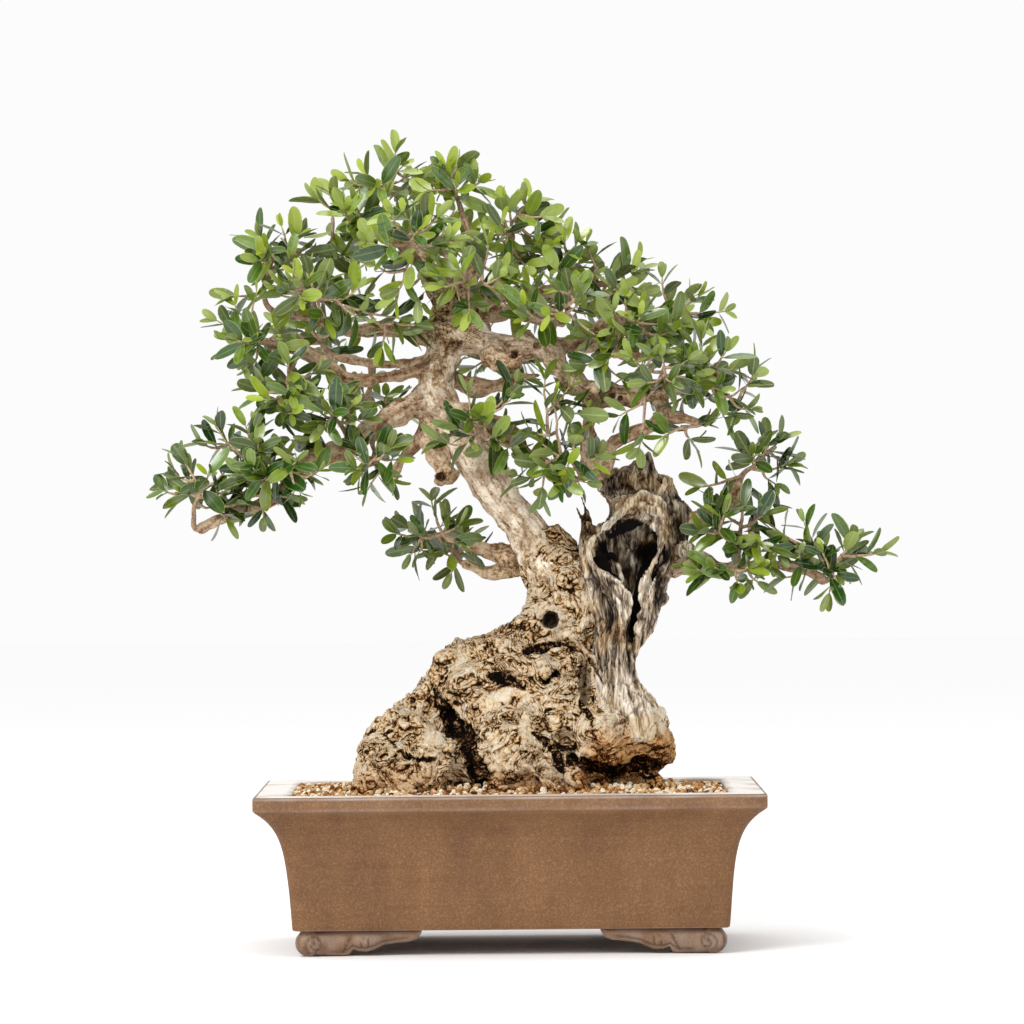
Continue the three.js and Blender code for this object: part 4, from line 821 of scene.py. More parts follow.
def make_pot_shell(settings):
    """The rounded plan carried round the section, with the hand-worked unevenness of 0.5 mm, and a drain
    hole cut through each half of the floor."""
    plan = plan_of_corners()
    profile = pot_profile(*(size * METRE for size in (settings.length, settings.depth, settings.height)))
    corner = profile[:, None, 3:4]
    flat = plan[None, :, :2] * (profile[:, None, :2] - corner) + plan[None, :, 2:] * corner
    z = np.broadcast_to(profile[:, None, 2:3], flat.shape[:2] + (1,))
    points = np.concatenate([flat, z], 2).reshape(-1, 3)
    uneven = (noise(points, 38, 11) - 0.5) * ease(FOOT_HEIGHT, FOOT_HEIGHT + 8, points[:, 2])
    outward = np.concatenate([plan[:, 2:], np.zeros((len(plan), 1))], 1)
    outside = np.arange(len(profile)) < np.argmax(profile[:, 2]) - 1
    points += (uneven[:, None] * np.tile(outward, (len(profile), 1))) * 0.5 * np.repeat(outside, len(plan))[:, None]
    # Wear and painted glare: each profile row's last value, varied by noise; near 1 on the rim's top.
    worn = np.repeat(profile[:, 4], len(plan)) * (0.55 + 0.9 * (noise(points, (22, 22, 6), 12)))
    faces = closed_tube(len(profile), len(plan))
    pot = make_piece("pot_shell", points, faces, [stoneware(settings)], {"worn": np.clip(worn, 0, 1)})
    turn = np.arange(DRAIN_SIDES) * math.tau / DRAIN_SIDES
    for side in (-1, 1):
        ring = np.stack([side * DRAIN_SPACING / 2 + DRAIN_RADIUS * np.cos(turn), DRAIN_RADIUS * np.sin(turn)], 1)
        tube = np.concatenate([np.c_[ring, np.full(DRAIN_SIDES, z)] for z in DRAIN_REACH])
        plug = make_piece("drain_plug", tube, closed_tube(2, DRAIN_SIDES), [])
        apply_modifier(pot, "BOOLEAN", object=plug, operation="DIFFERENCE", solver="EXACT")
        bpy.data.objects.remove(plug)
    return pot


def apply_modifier(piece, kind, **settings):
    """Add a modifier with its settings and make its result the piece's own mesh."""
    modifier = piece.modifiers.new(kind.lower(), kind)
    for name, value in settings.items():
        setattr(modifier, name, value)
    bpy.context.view_layer.update()
    made = bpy.data.meshes.new_from_object(piece.evaluated_get(bpy.context.evaluated_depsgraph_get()))
    piece.modifiers.clear()
    old, piece.data = piece.data, made
    bpy.data.meshes.remove(old)


def spiral(x, z, middle, size, turns):
    """1 on the line of a spiral scroll round a middle and 0 away from it: where the radius over the pitch
    less the turn round the middle is a whole number."""
    radius = np.hypot(x - middle[0], z - middle[1])
    around = np.arctan2(z - middle[1], x - middle[0]) / math.tau
    pitch = size / turns
    off = np.abs(((radius / pitch - around) % 1) - 0.5) * pitch
    near = np.exp(-(((pitch / 2 - off) / 0.62) ** 2))
    return near * (1 - ease(size - 0.6, size + 0.6, radius))


def foot_wing(size, rows=88, around=36):
    """One wing of a cloud foot, at the origin and running along +X with its face towards -Y: a rolled toe, a
    smaller lobe and a long tail. Each section across it is a superellipse |y|^2.2 + |z|^2.9 = 1 between the
    wing's lower edge and the pot, the toe and the lobe swell out of its face, and scrolls are cut 1.5 mm
    deep into it. Also how deep in a groove each point is, from 0 to 1."""
    share = np.linspace(0, 1, rows)[:, None]
    turn = (np.arange(around) * math.tau / around)[None]
    x = 101 * share
    stops = (0, 14, 34, 40, 45, 49, 56, 63, 70, 80, 92, 98, 101)
    lower = np.interp(x, stops, (0, 0, 0, 1.2, 5, 3.2, 3, 5, 8, 9.6, 10.6, 13, 18))
    upper = np.full_like(x, FOOT_HEIGHT + 1)
    cosine, sine = np.cos(turn), np.sin(turn)
    y = 7.5 - 7.5 * np.sign(cosine) * np.abs(cosine) ** 0.9
    z = (lower + upper) / 2 + (upper - lower) / 2 * np.sign(sine) * np.abs(sine) ** 0.7
    left = np.interp(z, (0, 1.5, 4, 8, 12, 16, 21), (13, 8, 5.2, 3.4, 2.8, 4.6, 9))
    across = left + share * (101 - left)
    swell = np.exp(-(((across - 18) / 16) ** 2)) + 0.5 * np.exp(-(((across - 56) / 9) ** 2))
    groove = spiral(across, z, (17.5, 9), 8.5, 1.7) + spiral(across, z, (55.5, 9.5), 5.2, 1.3)
    groove += np.exp(-(((z - lower - 3.4) / 0.8) ** 2)) * ease(26, 32, across) * (1 - ease(86, 95, across))
    groove += np.exp(-(((across - 42 - 0.5 * (z - 8)) / 1.2) ** 2)) * ease(1, 5, z) * (1 - ease(13, 18, z))
    face = ease(0.1, 0.7, cosine)
    groove = np.clip(groove, 0, 1) * face
    y = y + 1.5 * groove - 3.2 * swell * np.clip(cosine, 0, 1) * np.sin(math.pi * np.clip(z / 20, 0, 1)) ** 0.7
    points = np.stack([across * size, y + 0 * across, z], 2).reshape(-1, 3)
    return points, [block[:, ::-1] for block in closed_tube(rows, around)], groove.ravel()


def make_feet(settings):
    """Four corners of two wings each, turned over for the left and right and the front and back."""
    inset, parts, soot = 5, [], []
    corner = [FLARE - size * METRE / 2 for size in (settings.length, settings.depth)]
    for sx, sy, side in product((1, -1), (1, -1), (0, 1)):
        wing, faces, groove = foot_wing(0.62 if side else 1.0)
        wing = (wing[:, [1, 0, 2]] if side else wing) + (corner[0] + inset * side, corner[1] + inset * (1 - side), 0)
        turned_over = ((sx < 0) + (sy < 0) + side) % 2
        parts.append((wing * (sx, sy, 1), [block[:, ::-1] if turned_over else block for block in faces]))
        soot.append(groove)
    points, faces = joined(parts)
    # Painted shade: each point of the feet darkens with how deep in a groove it lies.
    # The feet's wear brightens the clay a little, partly as painted glare.
    marks = {"worn": 0.02 + 0.15 * noise(points, 7, 13), "soot": 0.7 * np.concatenate(soot)}
    return make_piece("cloud_feet", points, faces, [bpy.data.materials["unglazed_stoneware"]], marks)


# ---------------------------------------------------------------- soil
GRAINS_REACH = (172 - 2.2, 102 - 2.2)  # half the length and the depth that grains lie over
UNDER_TREE = (108, 58)  # half the length and the depth that the tree covers


def soil_height(x, y):
    """Soil heaped round the tree: 120.5 + 20 exp(-(x / 120)^2 - (y / 70)^2), with low bumps."""
    mound = 20 * np.exp(-((x / 120) ** 2) - (y / 70) ** 2)
    return 120.5 + mound + 1.6 * np.sin(x * 1.9 + y * 0.7) * np.cos(y * 2.3 - x * 0.4)


def make_grains(settings):
    """Loose grains over the soil. Each is a cube whose corners and face middles are pushed out to a rough
    ball, turned and stretched at random; they lie on a shaken grid, at uneven heights."""
    random = np.random.default_rng(41)
    pitch = settings.grain * METRE * 0.86
    x, y = np.meshgrid(*(np.arange(-half, half, pitch) for half in GRAINS_REACH))
    middle = np.stack([x.ravel(), y.ravel()], 1)
    middle = middle + random.uniform(-0.45, 0.45, middle.shape) * pitch
    middle = np.clip(middle, -np.array(GRAINS_REACH), GRAINS_REACH)
    z = soil_height(middle[:, 0], middle[:, 1]) + random.uniform(-0.6, 1.6, len(middle))
    buried = (((middle - (10, 0)) / UNDER_TREE) ** 2).sum(1) < 1
    middle, z = middle[~buried], z[~buried]
    count = len(middle)
    cube = np.array(list(product((-1, 1), repeat=3)), float) / math.sqrt(3)
    faces_out = np.repeat(np.eye(3), 2, 0) * np.tile((1, -1), 3)[:, None]
    ball = np.concatenate([cube, faces_out])
    triangles = []
    for number, out in enumerate(faces_out):
        ring = [i for i in range(len(cube)) if cube[i] @ out > 0.1]
        side = np.cross(out, (0.3, 0.5, 0.7))
        ring.sort(key=lambda i: math.atan2(cube[i] @ np.cross(out, side), cube[i] @ side))
        triangles += [(len(cube) + number, ring[i], ring[(i + 1) % 4]) for i in range(4)]
    size = settings.grain * METRE / 2 * random.uniform(0.62, 1.18, (count, 1, 1))
    stretch = random.uniform(0.72, 1.15, (count, 1, 3))
    rough = random.uniform(0.8, 1.15, (count, len(ball), 1))
    spun = np.linalg.qr(random.normal(size=(count, 3, 3)))[0]
    spun *= np.sign(np.linalg.det(spun))[:, None, None]
    points = np.einsum("nij,npj->npi", spun, ball[None] * size * stretch * rough)
    points = points + np.concatenate([middle, z[:, None]], 1)[:, None]
    faces = (np.array(triangles)[None] + len(ball) * np.arange(count)[:, None, None]).reshape(-1, 3)
    tint = np.repeat(np.clip(random.beta(2.6, 1.7, count), 0, 1), len(ball))
    return make_piece("soil_grains", points.reshape(-1, 3), [faces], [pumice_grains()], {"tint": tint}, smooth=False)


# ---------------------------------------------------------------- wood
def along_lines(points, lines):
    """For each point, the nearest of several lines of stations [x, y, z, radius]: the length along it to the
    nearest place on it, the offset from there, the radius there, and the line's number."""
    near = np.full(len(points), 1e9)
    length, radius, number = np.zeros(len(points)), np.zeros(len(points)), np.zeros(len(points), int)
    offset = np.zeros((len(points), 3))
    for index, stations in enumerate(lines):
        line, run = smoothed_line(stations, 9.0), 0.0
        for start, end in zip(line[:-1], line[1:]):
            span = (end - start)[:3]
            size = np.linalg.norm(span)
            share = np.clip((points - start[:3]) @ span / size**2, 0, 1)
            away = points - start[:3] - share[:, None] * span
            width = start[3] + share * (end[3] - start[3])
            gap = norms(away) - width
            closer = gap < near
            near = np.where(closer, gap, near)
            length = np.where(closer, run + share * size, length)
            radius = np.where(closer, width, radius)
            number = np.where(closer, index, number)
            offset[closer] = away[closer]
            run += size
    return length, offset, radius, number


def cork_relief(points, knots):
    """The corky bark's height in mm, how far each point is out of its folds from 0 to 1, and the swirl: a
    number whose whole values run along the cracks. The second is used as colour, so it paints shade at the
    foot of each step and in the folds along with the bark's own tone. The swirl is a drifted noise, and near
    a knot the distance from the knot's middle over its ring spacing. At every second crack the bark steps up
    steeply and then falls away gently, as plates of cork that overlap do; the folds between 12 mm lumps are
    deeper still."""
    moved = drifted(drifted(points, 24, 16, 21), 8, 3.5, 25)
    gap = np.full(len(points), 1e9)
    for knot in knots:
        gap = np.minimum(gap, norms((moved - knot[:3]) * (1, 0.6, 1)) / knot[3])
    on_knot = 1 - ease(1.9, 3.6, gap)
    swirl = 5.2 * noise(moved, 22, 31) * (1 - on_knot) + 0.55 * np.minimum(gap, 5) * on_knot
    swirl += 0.7 * (noise(points, 5.5, 33) - 0.5)
    step = swirl % 1
    plate = ease(0, 0.3, step) * (1 - 0.5 * step) * (0.3 + 0.7 * ease(0.02, 0.22, plates(moved, 9, 41)))
    small = noise(points, 4.5, 51)
    lumps = 1 - np.abs(2 * noise(moved, 13, 61) - 1)
    height = 3.2 * (plate - 0.5) + 1.6 * (small - 0.5) + 1.8 * on_knot * ease(0.2, 1.0, gap)
    height += 3.6 * (lumps - 0.75) + 7.0 * (noise(points, 26, 62) - 0.55)
    out = 0.7 * plate + 0.3 * (small - 0.3) + 0.3 * ease(0.3, 0.95, lumps)
    return height, np.clip(out, 0, 1), 2 * swirl


def lobing(points):
    """The base's low swellings: 4 (sin(x/9 + sin(z/13)) cos(z/10 + y/17) + sin(y/8 + x/21) / 2)."""
    x, y, z = points.T
    return 4 * (np.sin(x / 9 + np.sin(z / 13)) * np.cos(z / 10 + y / 17) + 0.5 * np.sin(y / 8 + x / 21))


# Knots that the bark swirls round, as seen from the front: x, z and the spacing of the rings, in mm.
KNOTS = [
    (15, 189, 3.8), (-77, 179, 5.5), (-2, 163, 4), (15, 150, 3.4), (70, 161, 3.2), (112, 166, 3.6), (46, 212, 4.2),
    (-17, 172, 4), (-73, 137, 4.4), (-6, 143, 4), (-34, 212, 4.4), (4, 222, 4), (-48, 160, 3.6), (38, 182, 3.4),
    (50, 250, 4), (24, 284, 3.6), (92, 186, 3.6), (-96, 150, 4),
]

# Cracks, caves and the undercut, as seen from the front: stations [x, z, radius] in mm. They are carved,
# and the colour along them is darkened as painted shade.
CRACKS = [
    [(12, 236, 1), (26, 239, 1.8), (42, 240, 2), (57, 234, 2), (68, 223, 2), (74, 212, 2), (77, 200, 1)],
    [(-17, 217, 1.5), (-4, 215, 2.2), (5, 210, 4), (11, 207, 3)],
    [(-54, 192, 2), (-49, 188, 5), (-40, 179, 6.5), (-33, 167, 7), (-27, 152, 8), (-22, 138, 9), (-20, 126, 9)],
    [(49, 152, 3), (60, 147, 7), (74, 142, 8), (90, 141, 7), (100, 144, 4)],
    [(101, 145, 4.5), (112, 142, 6), (124, 144, 4)], [(32, 160, 1.5), (38, 163, 4), (45, 165, 3.5), (51, 163, 1.5)],
    [(61, 306, 2.5), (73, 290, 3.2), (77, 275, 3.4), (75, 262, 3.2), (71, 247, 3), (70, 234, 2.5), (72, 222, 1.5)],
    [(20, 172, 1), (30, 164, 2), (38, 152, 2.4), (40, 140, 2)],
    [(-100, 172, 1), (-86, 158, 1.8), (-74, 152, 2), (-58, 152, 1)], [(27, 212, 2.6), (31, 214, 4.2), (36, 217, 3.4)],
    [(56, 196, 1), (64, 182, 2), (66, 170, 1.6)], [(-60, 206, 1), (-52, 196, 1.8), (-46, 186, 1)],
]

# Places rubbed smooth and pale: x, z and half sizes in mm.
RUBBED = [((-58, 171), (9, 9)), ((69, 276), (5, 15)), ((-4, 200), (6, 5))]

# Where the outline draws in: over the left shoulder, beside the boulder, and at the old trunk's waist.
SHOULDERS = [
    ((-22, 0, 273), (35, 90, 25)), ((-101, 0, 238), (44, 300, 44)), ((-131, 0, 214), (46, 300, 46)),
    ((130, -4, 222), (33, 70, 28)), ((152, 0, 178), (27, 70, 29)),
]


def make_base(settings):
    """The burred root base: ellipsoid burrs and surface roots grown together, less the old cuts and cracks,
    with the bark's relief pushed out along the surface, and bare below the old trunk. Its colour marks paint
    light and shade: painted highlights on facets turned upwards, and painted shade in folds, hollows, cracks,
    caves and the knot hole."""
    field = Field((-138, -102, 102), (150, 96, 334), settings.base_pitch * METRE)
    for middle, half in BURRS:
        field.egg(middle, half, 9)
    field.egg((-74, 0, 188), (24, 30, 20), 9)
    field.rod([(40, 8, 296, 27), (30, 5, 316, 20.5), (22, 3, 328, 15)], 6)
    for root in SURFACE_ROOTS:
        field.rod(root, 5)
    for middle, half in SHOULDERS:
        field.egg(middle, half, 8, hollow=True)
    knots = field.set_back(KNOTS)
    cracks = []
    for crack in CRACKS:
        line = smoothed_line([(x, 0, z, radius) for x, z, radius in crack], 4)
        line[:, 1] = field.front(line[:, 0], line[:, 2]) + 0.7 * line[:, 3]
        field.rod(line, 1.5, hollow=True)
        cracks.append(line)
    for middle, half in (HOLLOWS[0], *HOLLOWS[2:]):
        field.egg(middle, half, 2.5, hollow=True)
    field.below(104, 1)
    points, quads = field.skin()
    random = np.random.default_rng(5)
    behind = points[points[:, 1] > -10]
    picked = behind[random.integers(0, len(behind), 34)]
    knots = np.concatenate([knots, np.c_[picked, random.uniform(3, 5, len(picked))]])
    height, out, swirl = cork_relief(points, knots)
    x, z = points[:, 0], points[:, 2]
    _, offset, radius, _ = along_lines(points, cracks)
    in_crack = 1 - ease(-0.5, 2.0, norms(offset) - radius)
    rubbed = 0.4 * ease(0.7, 0.78, noise(points, 12, 74)) * (z < 240)
    for (middle_x, middle_z), (half_x, half_z) in RUBBED:
        away = np.hypot((x - middle_x) / half_x, (z - middle_z) / half_z) + 0.7 * (noise(points, 8, 75) - 0.5)
        rubbed = np.maximum(rubbed, 0.6 * (1 - ease(0.7, 1.15, away)) * (points[:, 1] < 0))
    frayed = 26 * (noise(points, 9, 72) - 0.5)
    bare = ease(62, 80, x + 22 * (noise(points, 14, 71) - 0.5)) * ease(170, 190, z + frayed)
    inside_knot = 1 - ease(0.8, 1.2, norms((points - (33, -27, 260)) / (6.5, 15, 6.5)))
    bare = np.clip(np.maximum(bare * (1 - ease(2, 26, points[:, 1] + frayed)), inside_knot), 0, 1)
    rubbed *= 1 - bare
    flutes = noise(drifted(points, 14, 10, 76) / (5.5, 5.5, 34), 1.0, 73)
    fibres = noise(drifted(points, 9, 5, 78) / (2.6, 2.6, 13), 1.0, 77)
    height = height * (1 - 0.7 * bare) * (1 - 0.6 * rubbed) + bare * (5.0 * (flutes - 0.5) + 1.5 * (fibres - 0.5))
    height *= (1 - 0.8 * inside_knot) * (1 - 0.7 * ease(312, 332, z)) * (1 - 0.5 * in_crack)
    collar = np.exp(-(((np.hypot(x - 33, z - 260) - 8.8) / 1.8) ** 2)) * (points[:, 1] < -5)
    height += 3.2 * collar
    shape = lobing(points) * (1 - 0.6 * bare) * ease(104, 112, z) * 0.7
    hollow = standing_out(points, quads, 40)
    upward = normals_of(points, quads)
    points = points + upward * (shape + height)[:, None]
    # Painted shade: darker where the surface lies below its smoothed self, in the folds and hollows.
    shade = ease(-6.5, 0.4, hollow + 0.35 * height)
    # Painted highlight: facets turned more upwards than the smooth surface are made lighter, as if lit from above,
    # and those turned down darker.
    lit = 0.8 * (normals_of(points, quads)[:, 2] - upward[:, 2])
    foot = ease(64, 82, x) * ease(156, 170, z) * (1 - ease(196, 212, z))
    # The relief mark: the bark's tone with that painted highlight, painted shade from the hollows, and the cracks,
    # caves and undercut painted dark as shade.
    relief = np.clip((out + lit) * (1 - rubbed) + 0.9 * rubbed + 0.25 * foot + 0.4 * collar, 0, 1)
    relief = relief * (0.4 + 0.6 * shade) - 0.9 * in_crack
    # Painted shade for the bare wood: darker in hollows and cracks, and in the knot hole, here and in the ridge mark
    # below.
    ridge = shade * (1 - 0.95 * in_crack) * (1 - 0.9 * inside_knot)
    damp = 0.6 * ease(0, 1, (165 - z) / 50) + 0.6 * ease(48, 72, x) * (1 - ease(162, 184, z))
    marks = {
        "relief": np.where(bare > 0.5, 0.35 * flutes + 0.5 * fibres, relief), "damp": damp, "swirl": swirl,
        "rubbed": rubbed, "ridge": ridge + 0.35 * (1 - inside_knot),
        "tan": np.clip(1.3 * (noise(points, 15, 87) - 0.5) + 0.9 * (1 - ease(158, 186, z)), 0, 1),
    }
    kinds = bare[quads].mean(1) > 0.5
    return make_piece("burred_base", points, [quads], [corky_bark(), deadwood()], marks, kinds=kinds)


# What the old trunk's hollow is carved with, and the rims and the inner lobe that stand round it: stations
# [x, y, z, radius] in mm.
CARVED = [
    [(71, -44, 313, 7), (82, -40, 318, 12), (96, -37, 322, 16), (111, -34, 315, 15.5), (110, -35, 299, 9),
     (104, -36, 282, 7), (101, -36, 264, 6), (97, -38, 244, 3.5)],
    [(84, -24, 316, 9), (98, -18, 320, 13), (108, -14, 315, 13), (106, -19, 297, 8.5), (102, -23, 274, 6.5),
     (99, -27, 250, 4.5)],
    [(72, -36, 304, 6), (82, -36, 302, 8), (93, -35, 294, 7)],
]
RIMS = [
    [(92, -32, 346, 4), (78, -35, 334, 4), (66, -37, 322, 3.8), (64, -38, 311, 3.6), (70, -39, 300, 4),
     (79, -41, 293, 5), (86, -43, 286, 6), (94, -44, 278, 5.4), (95, -44, 269, 4.4), (90, -42, 258, 3)],
    [(123, -27, 350, 5), (122, -33, 334, 4.4), (121, -36, 318, 4), (114, -39, 302, 4.2), (108, -38, 286, 4.6),
     (106, -38, 268, 4.6), (101, -38, 250, 4), (100, -37, 236, 4)],
    [(92, -32, 346, 4), (100, -30, 355, 4.4), (112, -27, 359, 5.4), (123, -27, 350, 5)],
    [(82, -28, 326, 3), (91, -32, 332, 6), (102, -32, 338, 7), (113, -28, 344, 5)],
    [(74, -24, 306, 3), (80, -22, 312, 4), (86, -22, 306, 3.5), (90, -21, 292, 4), (88, -24, 270, 4)],
]

# Snags: two prongs beside the hollow, a curl and stubs on the far side, and the jagged crown.
SNAGS = [
    [(59, -3, 358, 1.2), (63, -7, 344, 3), (67, -9, 326, 6)],
    [(55, -4, 349, 1), (60, -7, 338, 2.6), (66, -9, 322, 5)],
    [(134, -18, 307, 4), (145, -21, 308, 2.8), (148, -22, 315, 2.4), (141, -21, 320, 2.4), (135, -19, 316, 2)],
    [(118, -9, 297, 5), (127, -13, 297, 2.4), (132, -15, 295, 1)],
    [(118, -20, 356, 4), (125, -22, 366, 2.6), (127, -22, 373, 1)],
    [(103, -14, 366, 5), (100, -16, 380, 3), (101, -16, 386, 1)],
]

# The old trunk's toes, which spread over the root base.
TOES = [
    [(90, -30, 216, 10), (98, -38, 194, 12), (106, -42, 170, 10)],
    [(94, -12, 216, 10), (106, -16, 192, 13), (114, -18, 166, 11)],
    [(84, -32, 214, 9), (80, -40, 196, 9), (76, -44, 182, 5)],
    [(92, 4, 216, 12), (102, 14, 190, 13), (108, 20, 166, 10)],
]


def make_old_trunk(settings):
    """The hollow old trunk: sinews of deadwood grown together and carved out, with pale rims round the
    hollow and fibres that run along each sinew."""
    field = Field((48, -66, 156), (160, 46, 404), settings.deadwood_pitch * METRE)
    for strand in (*STRANDS[:-3], *STRANDS[-2:], *TOES):
        field.rod(strand, 4)
    for middle, half in (((73, -12, 346), (11, 60, 13)), *SHOULDERS[3:]):
        field.egg(middle, half, 4, hollow=True)
    for groove in CARVED:
        field.rod(groove, 2.5, hollow=True)
    for rim in (*RIMS, *SNAGS):
        rim = smoothed_line(rim, 4)
        rim[:, 3] *= 0.3 + 0.7 * noise(rim[:, :3], 6, 80)
        field.rod(rim, 2)
    points, quads = field.skin()
    length, offset, radius, number = along_lines(points, [*STRANDS, *RIMS, *TOES])
    shift = np.c_[np.zeros(len(points)), number * 17.0, number * 31.0]
    wave = noise(points, 20, 81) * 26
    fibres = noise(np.c_[offset[:, :2] / 2.1, (length + wave) / 24] + shift, 1.0, 82)
    cords = noise(np.c_[offset[:, :2] / 5.2, (length + wave) / 46] + shift, 1.0, 83)
    lumps = noise(drifted(points, 20, 14, 88), (8, 8, 26), 84)
    split = ease(0.02, 0.2, plates(drifted(points, 12, 8, 85), (7, 7, 34), 86))
    hollow = standing_out(points, quads, 60)
    height = 1.8 * (fibres - 0.5) + 2.4 * (cords - 0.5) + 3.6 * (lumps - 0.5) + 1.0 * (split - 1)
    height *= np.clip(radius / 8, 0.35, 1)
    _, carved_offset, carved_radius, _ = along_lines(points, CARVED)
    _, rim_offset, rim_radius, _ = along_lines(points, RIMS[:3])
    in_hollow = 1 - ease(0.5, 4.5, norms(carved_offset) - carved_radius)
    on_rim = 1 - ease(0.5, 3.5, norms(rim_offset) - rim_radius)
    spike = (1 - ease(68, 72, points[:, 0])) * ease(322, 330, points[:, 2])
    points = points + normals_of(points, quads) * height[:, None]
    relief = np.clip(0.6 * fibres + 0.45 * cords * split + 0.1, 0, 1)
    # Painted shade: lighter where the wood stands out, darker in hollows, and darker still in the carved cavity
    # except on its rims.
    ridge = ease(-4.5, 3.4, hollow + 0.7 * height)
    ridge = ridge * (1 - in_hollow * (1 - 0.9 * on_rim)) * (1 - 0.55 * spike) + 0.1 * on_rim
    ridge += 0.3 * (1 - ease(185, 250, points[:, 2])) - 0.28 * in_hollow * (1 - on_rim)
    tan = np.clip(0.3 * ease(345, 380, points[:, 2]) + spike + 1.4 * (noise(points, 16, 87) - 0.5), 0, 1)
    marks = {"relief": relief, "ridge": ridge, "tan": tan}
    return make_piece("old_trunk", points, [quads], [bpy.data.materials["weathered_olive_heartwood"]], marks)


# Rough wound cork on the trunk and its limbs: middle and size in mm. The two largest, at the crown's
# joint, are partly painted shade: their dark cork also stands in for the shadow under the foliage there.
WOUNDS = [
    ((-56, -16, 462), 12), ((-50, -12, 516), 10), ((-30, -18, 492), 12), ((-6, -40, 468), 10), ((6, -46, 464), 8),
    ((-47, -24, 378), 9), ((42, -38, 462), 10), ((120, -48, 440), 10), ((-38, -16, 410), 8), ((66, -34, 436), 9),
    ((0, 24, 308), 12), ((-44, 6, 516), 22), ((-46, -6, 500), 26), ((38, 8, 302), 24),
]

# Small round scars of old cuts, as seen from the front: x, z and radius in mm.
SCARS = [
    (-49, 516, 3.4), (7, 471, 3), (83, 438, 3.2), (90, 435, 2.6), (-53, 374, 3.6), (-36, 481, 2.4), (24, 478, 2.4),
    (110, 441, 2.4),
]

# How the finished trunk and some limbs run between their ends, and a stub behind the trunk.
REFINED = {
    "trunk": [
        (40, 8, 296, 25), (25, 5, 317, 18.5), (15.5, 4, 332, 15.5), (2.5, 0, 348, 15), (-10, -2, 365, 15.5),
        (-21, -4, 383, 16.5), *LIMBS["trunk"][4:],
    ],
    "left_upper": [
        (-54, 0, 462, 9), (-72, -6, 459, 5.6), (-103, -18, 453, 5), (-128, -24, 454, 4.8), *LIMBS["left_upper"][4:],
    ],
    "left_back": [(-50, 8, 468, 9), (-76, 34, 466, 5), (-110, 62, 468, 4), (-140, 82, 474, 3.4)],
    "right_low": [(129, -1, 304, 10.5), *LIMBS["right_low"][1:]],
    "back_stub": [(-46, 12, 454, 8), (-26, 24, 446, 7), (-6, 30, 448, 6), (8, 34, 455, 4.5), (26, 36, 456, 1.6)],
    "riser": [(100, 2, 348, 11), (84, 4, 366, 9), (72, 4, 379, 7.5), (64, 0, 393, 6.5), *LIMBS["riser"][3:]],
}


def make_limbs(settings):
    """The live trunk and every limb, grown together where they meet, with collars and knots at old cuts and
    fine cracks along them."""
    field = Field((-252, -84, 276), (260, 100, 614), settings.limb_pitch * METRE)
    limbs = list({**LIMBS, **REFINED}.values())
    for stations in limbs:
        field.rod(stations, 6 if stations[0][3] > 9 else 4)
    for middle, size in WOUNDS[:-3]:
        middle = np.array(middle, float)
        field.egg(middle * (1, 0.8, 1), (size * 0.62, size * 0.55, size * 0.62), 6)
    scars = field.set_back(SCARS)
    for x, y, z, size in scars:
        field.egg((x, y, z), (1.7 * size,) * 3, 2)
        field.egg((x, y - size, z), (size, 2.2 * size, size), 1, hollow=True)
    points, quads = field.skin()
    length, offset, radius, number = along_lines(points, limbs)
    rough = np.zeros(len(points))
    for middle, size in WOUNDS:
        gap = norms(points - middle) / size
        share = 1 if size > 20 else 0.6
        rough = np.maximum(rough, share * (1 - ease(0.6, 1.4, gap + 1.2 * (noise(points, 8, 91) - 0.5))))
    shift = np.c_[np.zeros(len(points)), number * 17.0, number * 31.0]
    cracks = noise(np.c_[offset[:, 0] / 2.6, offset[:, 1] / 2.6 + offset[:, 2] / 2.6, length / 15] + shift, 1.0, 92)
    rings = noise(offset / 30 + np.c_[length / 4.5, shift[:, 1:]], 1.0, 93)
    lumps = noise(points, 9, 94) + 0.6 * (noise(points, 19, 98) - 0.5)
    small = noise(points, 3.6, 95)
    height = 0.9 * (cracks - 0.5) + 0.7 * (rings - 0.5) + 5.2 * (lumps - 0.5) + 1.4 * (small - 0.5)
    height += 3.4 * (noise(np.c_[length / 13, shift[:, 1:]], 1.0, 99) - 0.5)
    height *= np.clip(radius / 9, 0.35, 1.1) * (1 - 0.4 * (radius > 15))
    swirl = 5 * noise(drifted(points, 16, 10, 96), 14, 97)
    folds = ease(0.02, 0.5, 2 * np.abs((swirl + 0.5) % 1 - 0.5))
    height = height + rough * (1.1 * (folds - 0.6) + 1.2 * (small - 0.5) + 4.5 * (noise(points, 10, 100) - 0.5))
    points = points + normals_of(points, quads) * height[:, None]
    relief = np.clip(cracks * 0.8 + 0.3 * small, 0, 1) * (1 - rough)
    relief += rough * np.clip(0.6 * folds + 0.4 * small, 0, 1)
    for x, y, z, size in scars:
        relief *= ease(0.8, 1.2, norms((points - (x, y, z)) * (1, 0.3, 1)) / size)
    # Painted shade: the colour darkens where the surface lies below its smoothed self.
    relief = relief * ease(-3.2, 0.4, standing_out(points, quads, 30))
    marks = {
        "relief": relief, "slim": 1 - ease(8, 13, radius), "rough": rough, "swirl": swirl,
        "across": offset[:, 0] + offset[:, 2], "deep": offset[:, 1], "along": length / 9 + 37 * number,
    }
    return make_piece("trunk_and_limbs", points, [quads], [smooth_bark()], marks)


BURIED_ROOTS = [
    [(-80, -20, 112, 17), (-104, -38, 88, 11), (-130, -60, 62, 6)],
    [(-60, 30, 112, 16), (-92, 48, 86, 10), (-118, 62, 56, 5)],
    [(40, 34, 112, 18), (56, 56, 84, 11), (82, 68, 54, 5)],
    [(92, -14, 124, 17), (116, -32, 96, 12), (140, -54, 60, 6)],
]


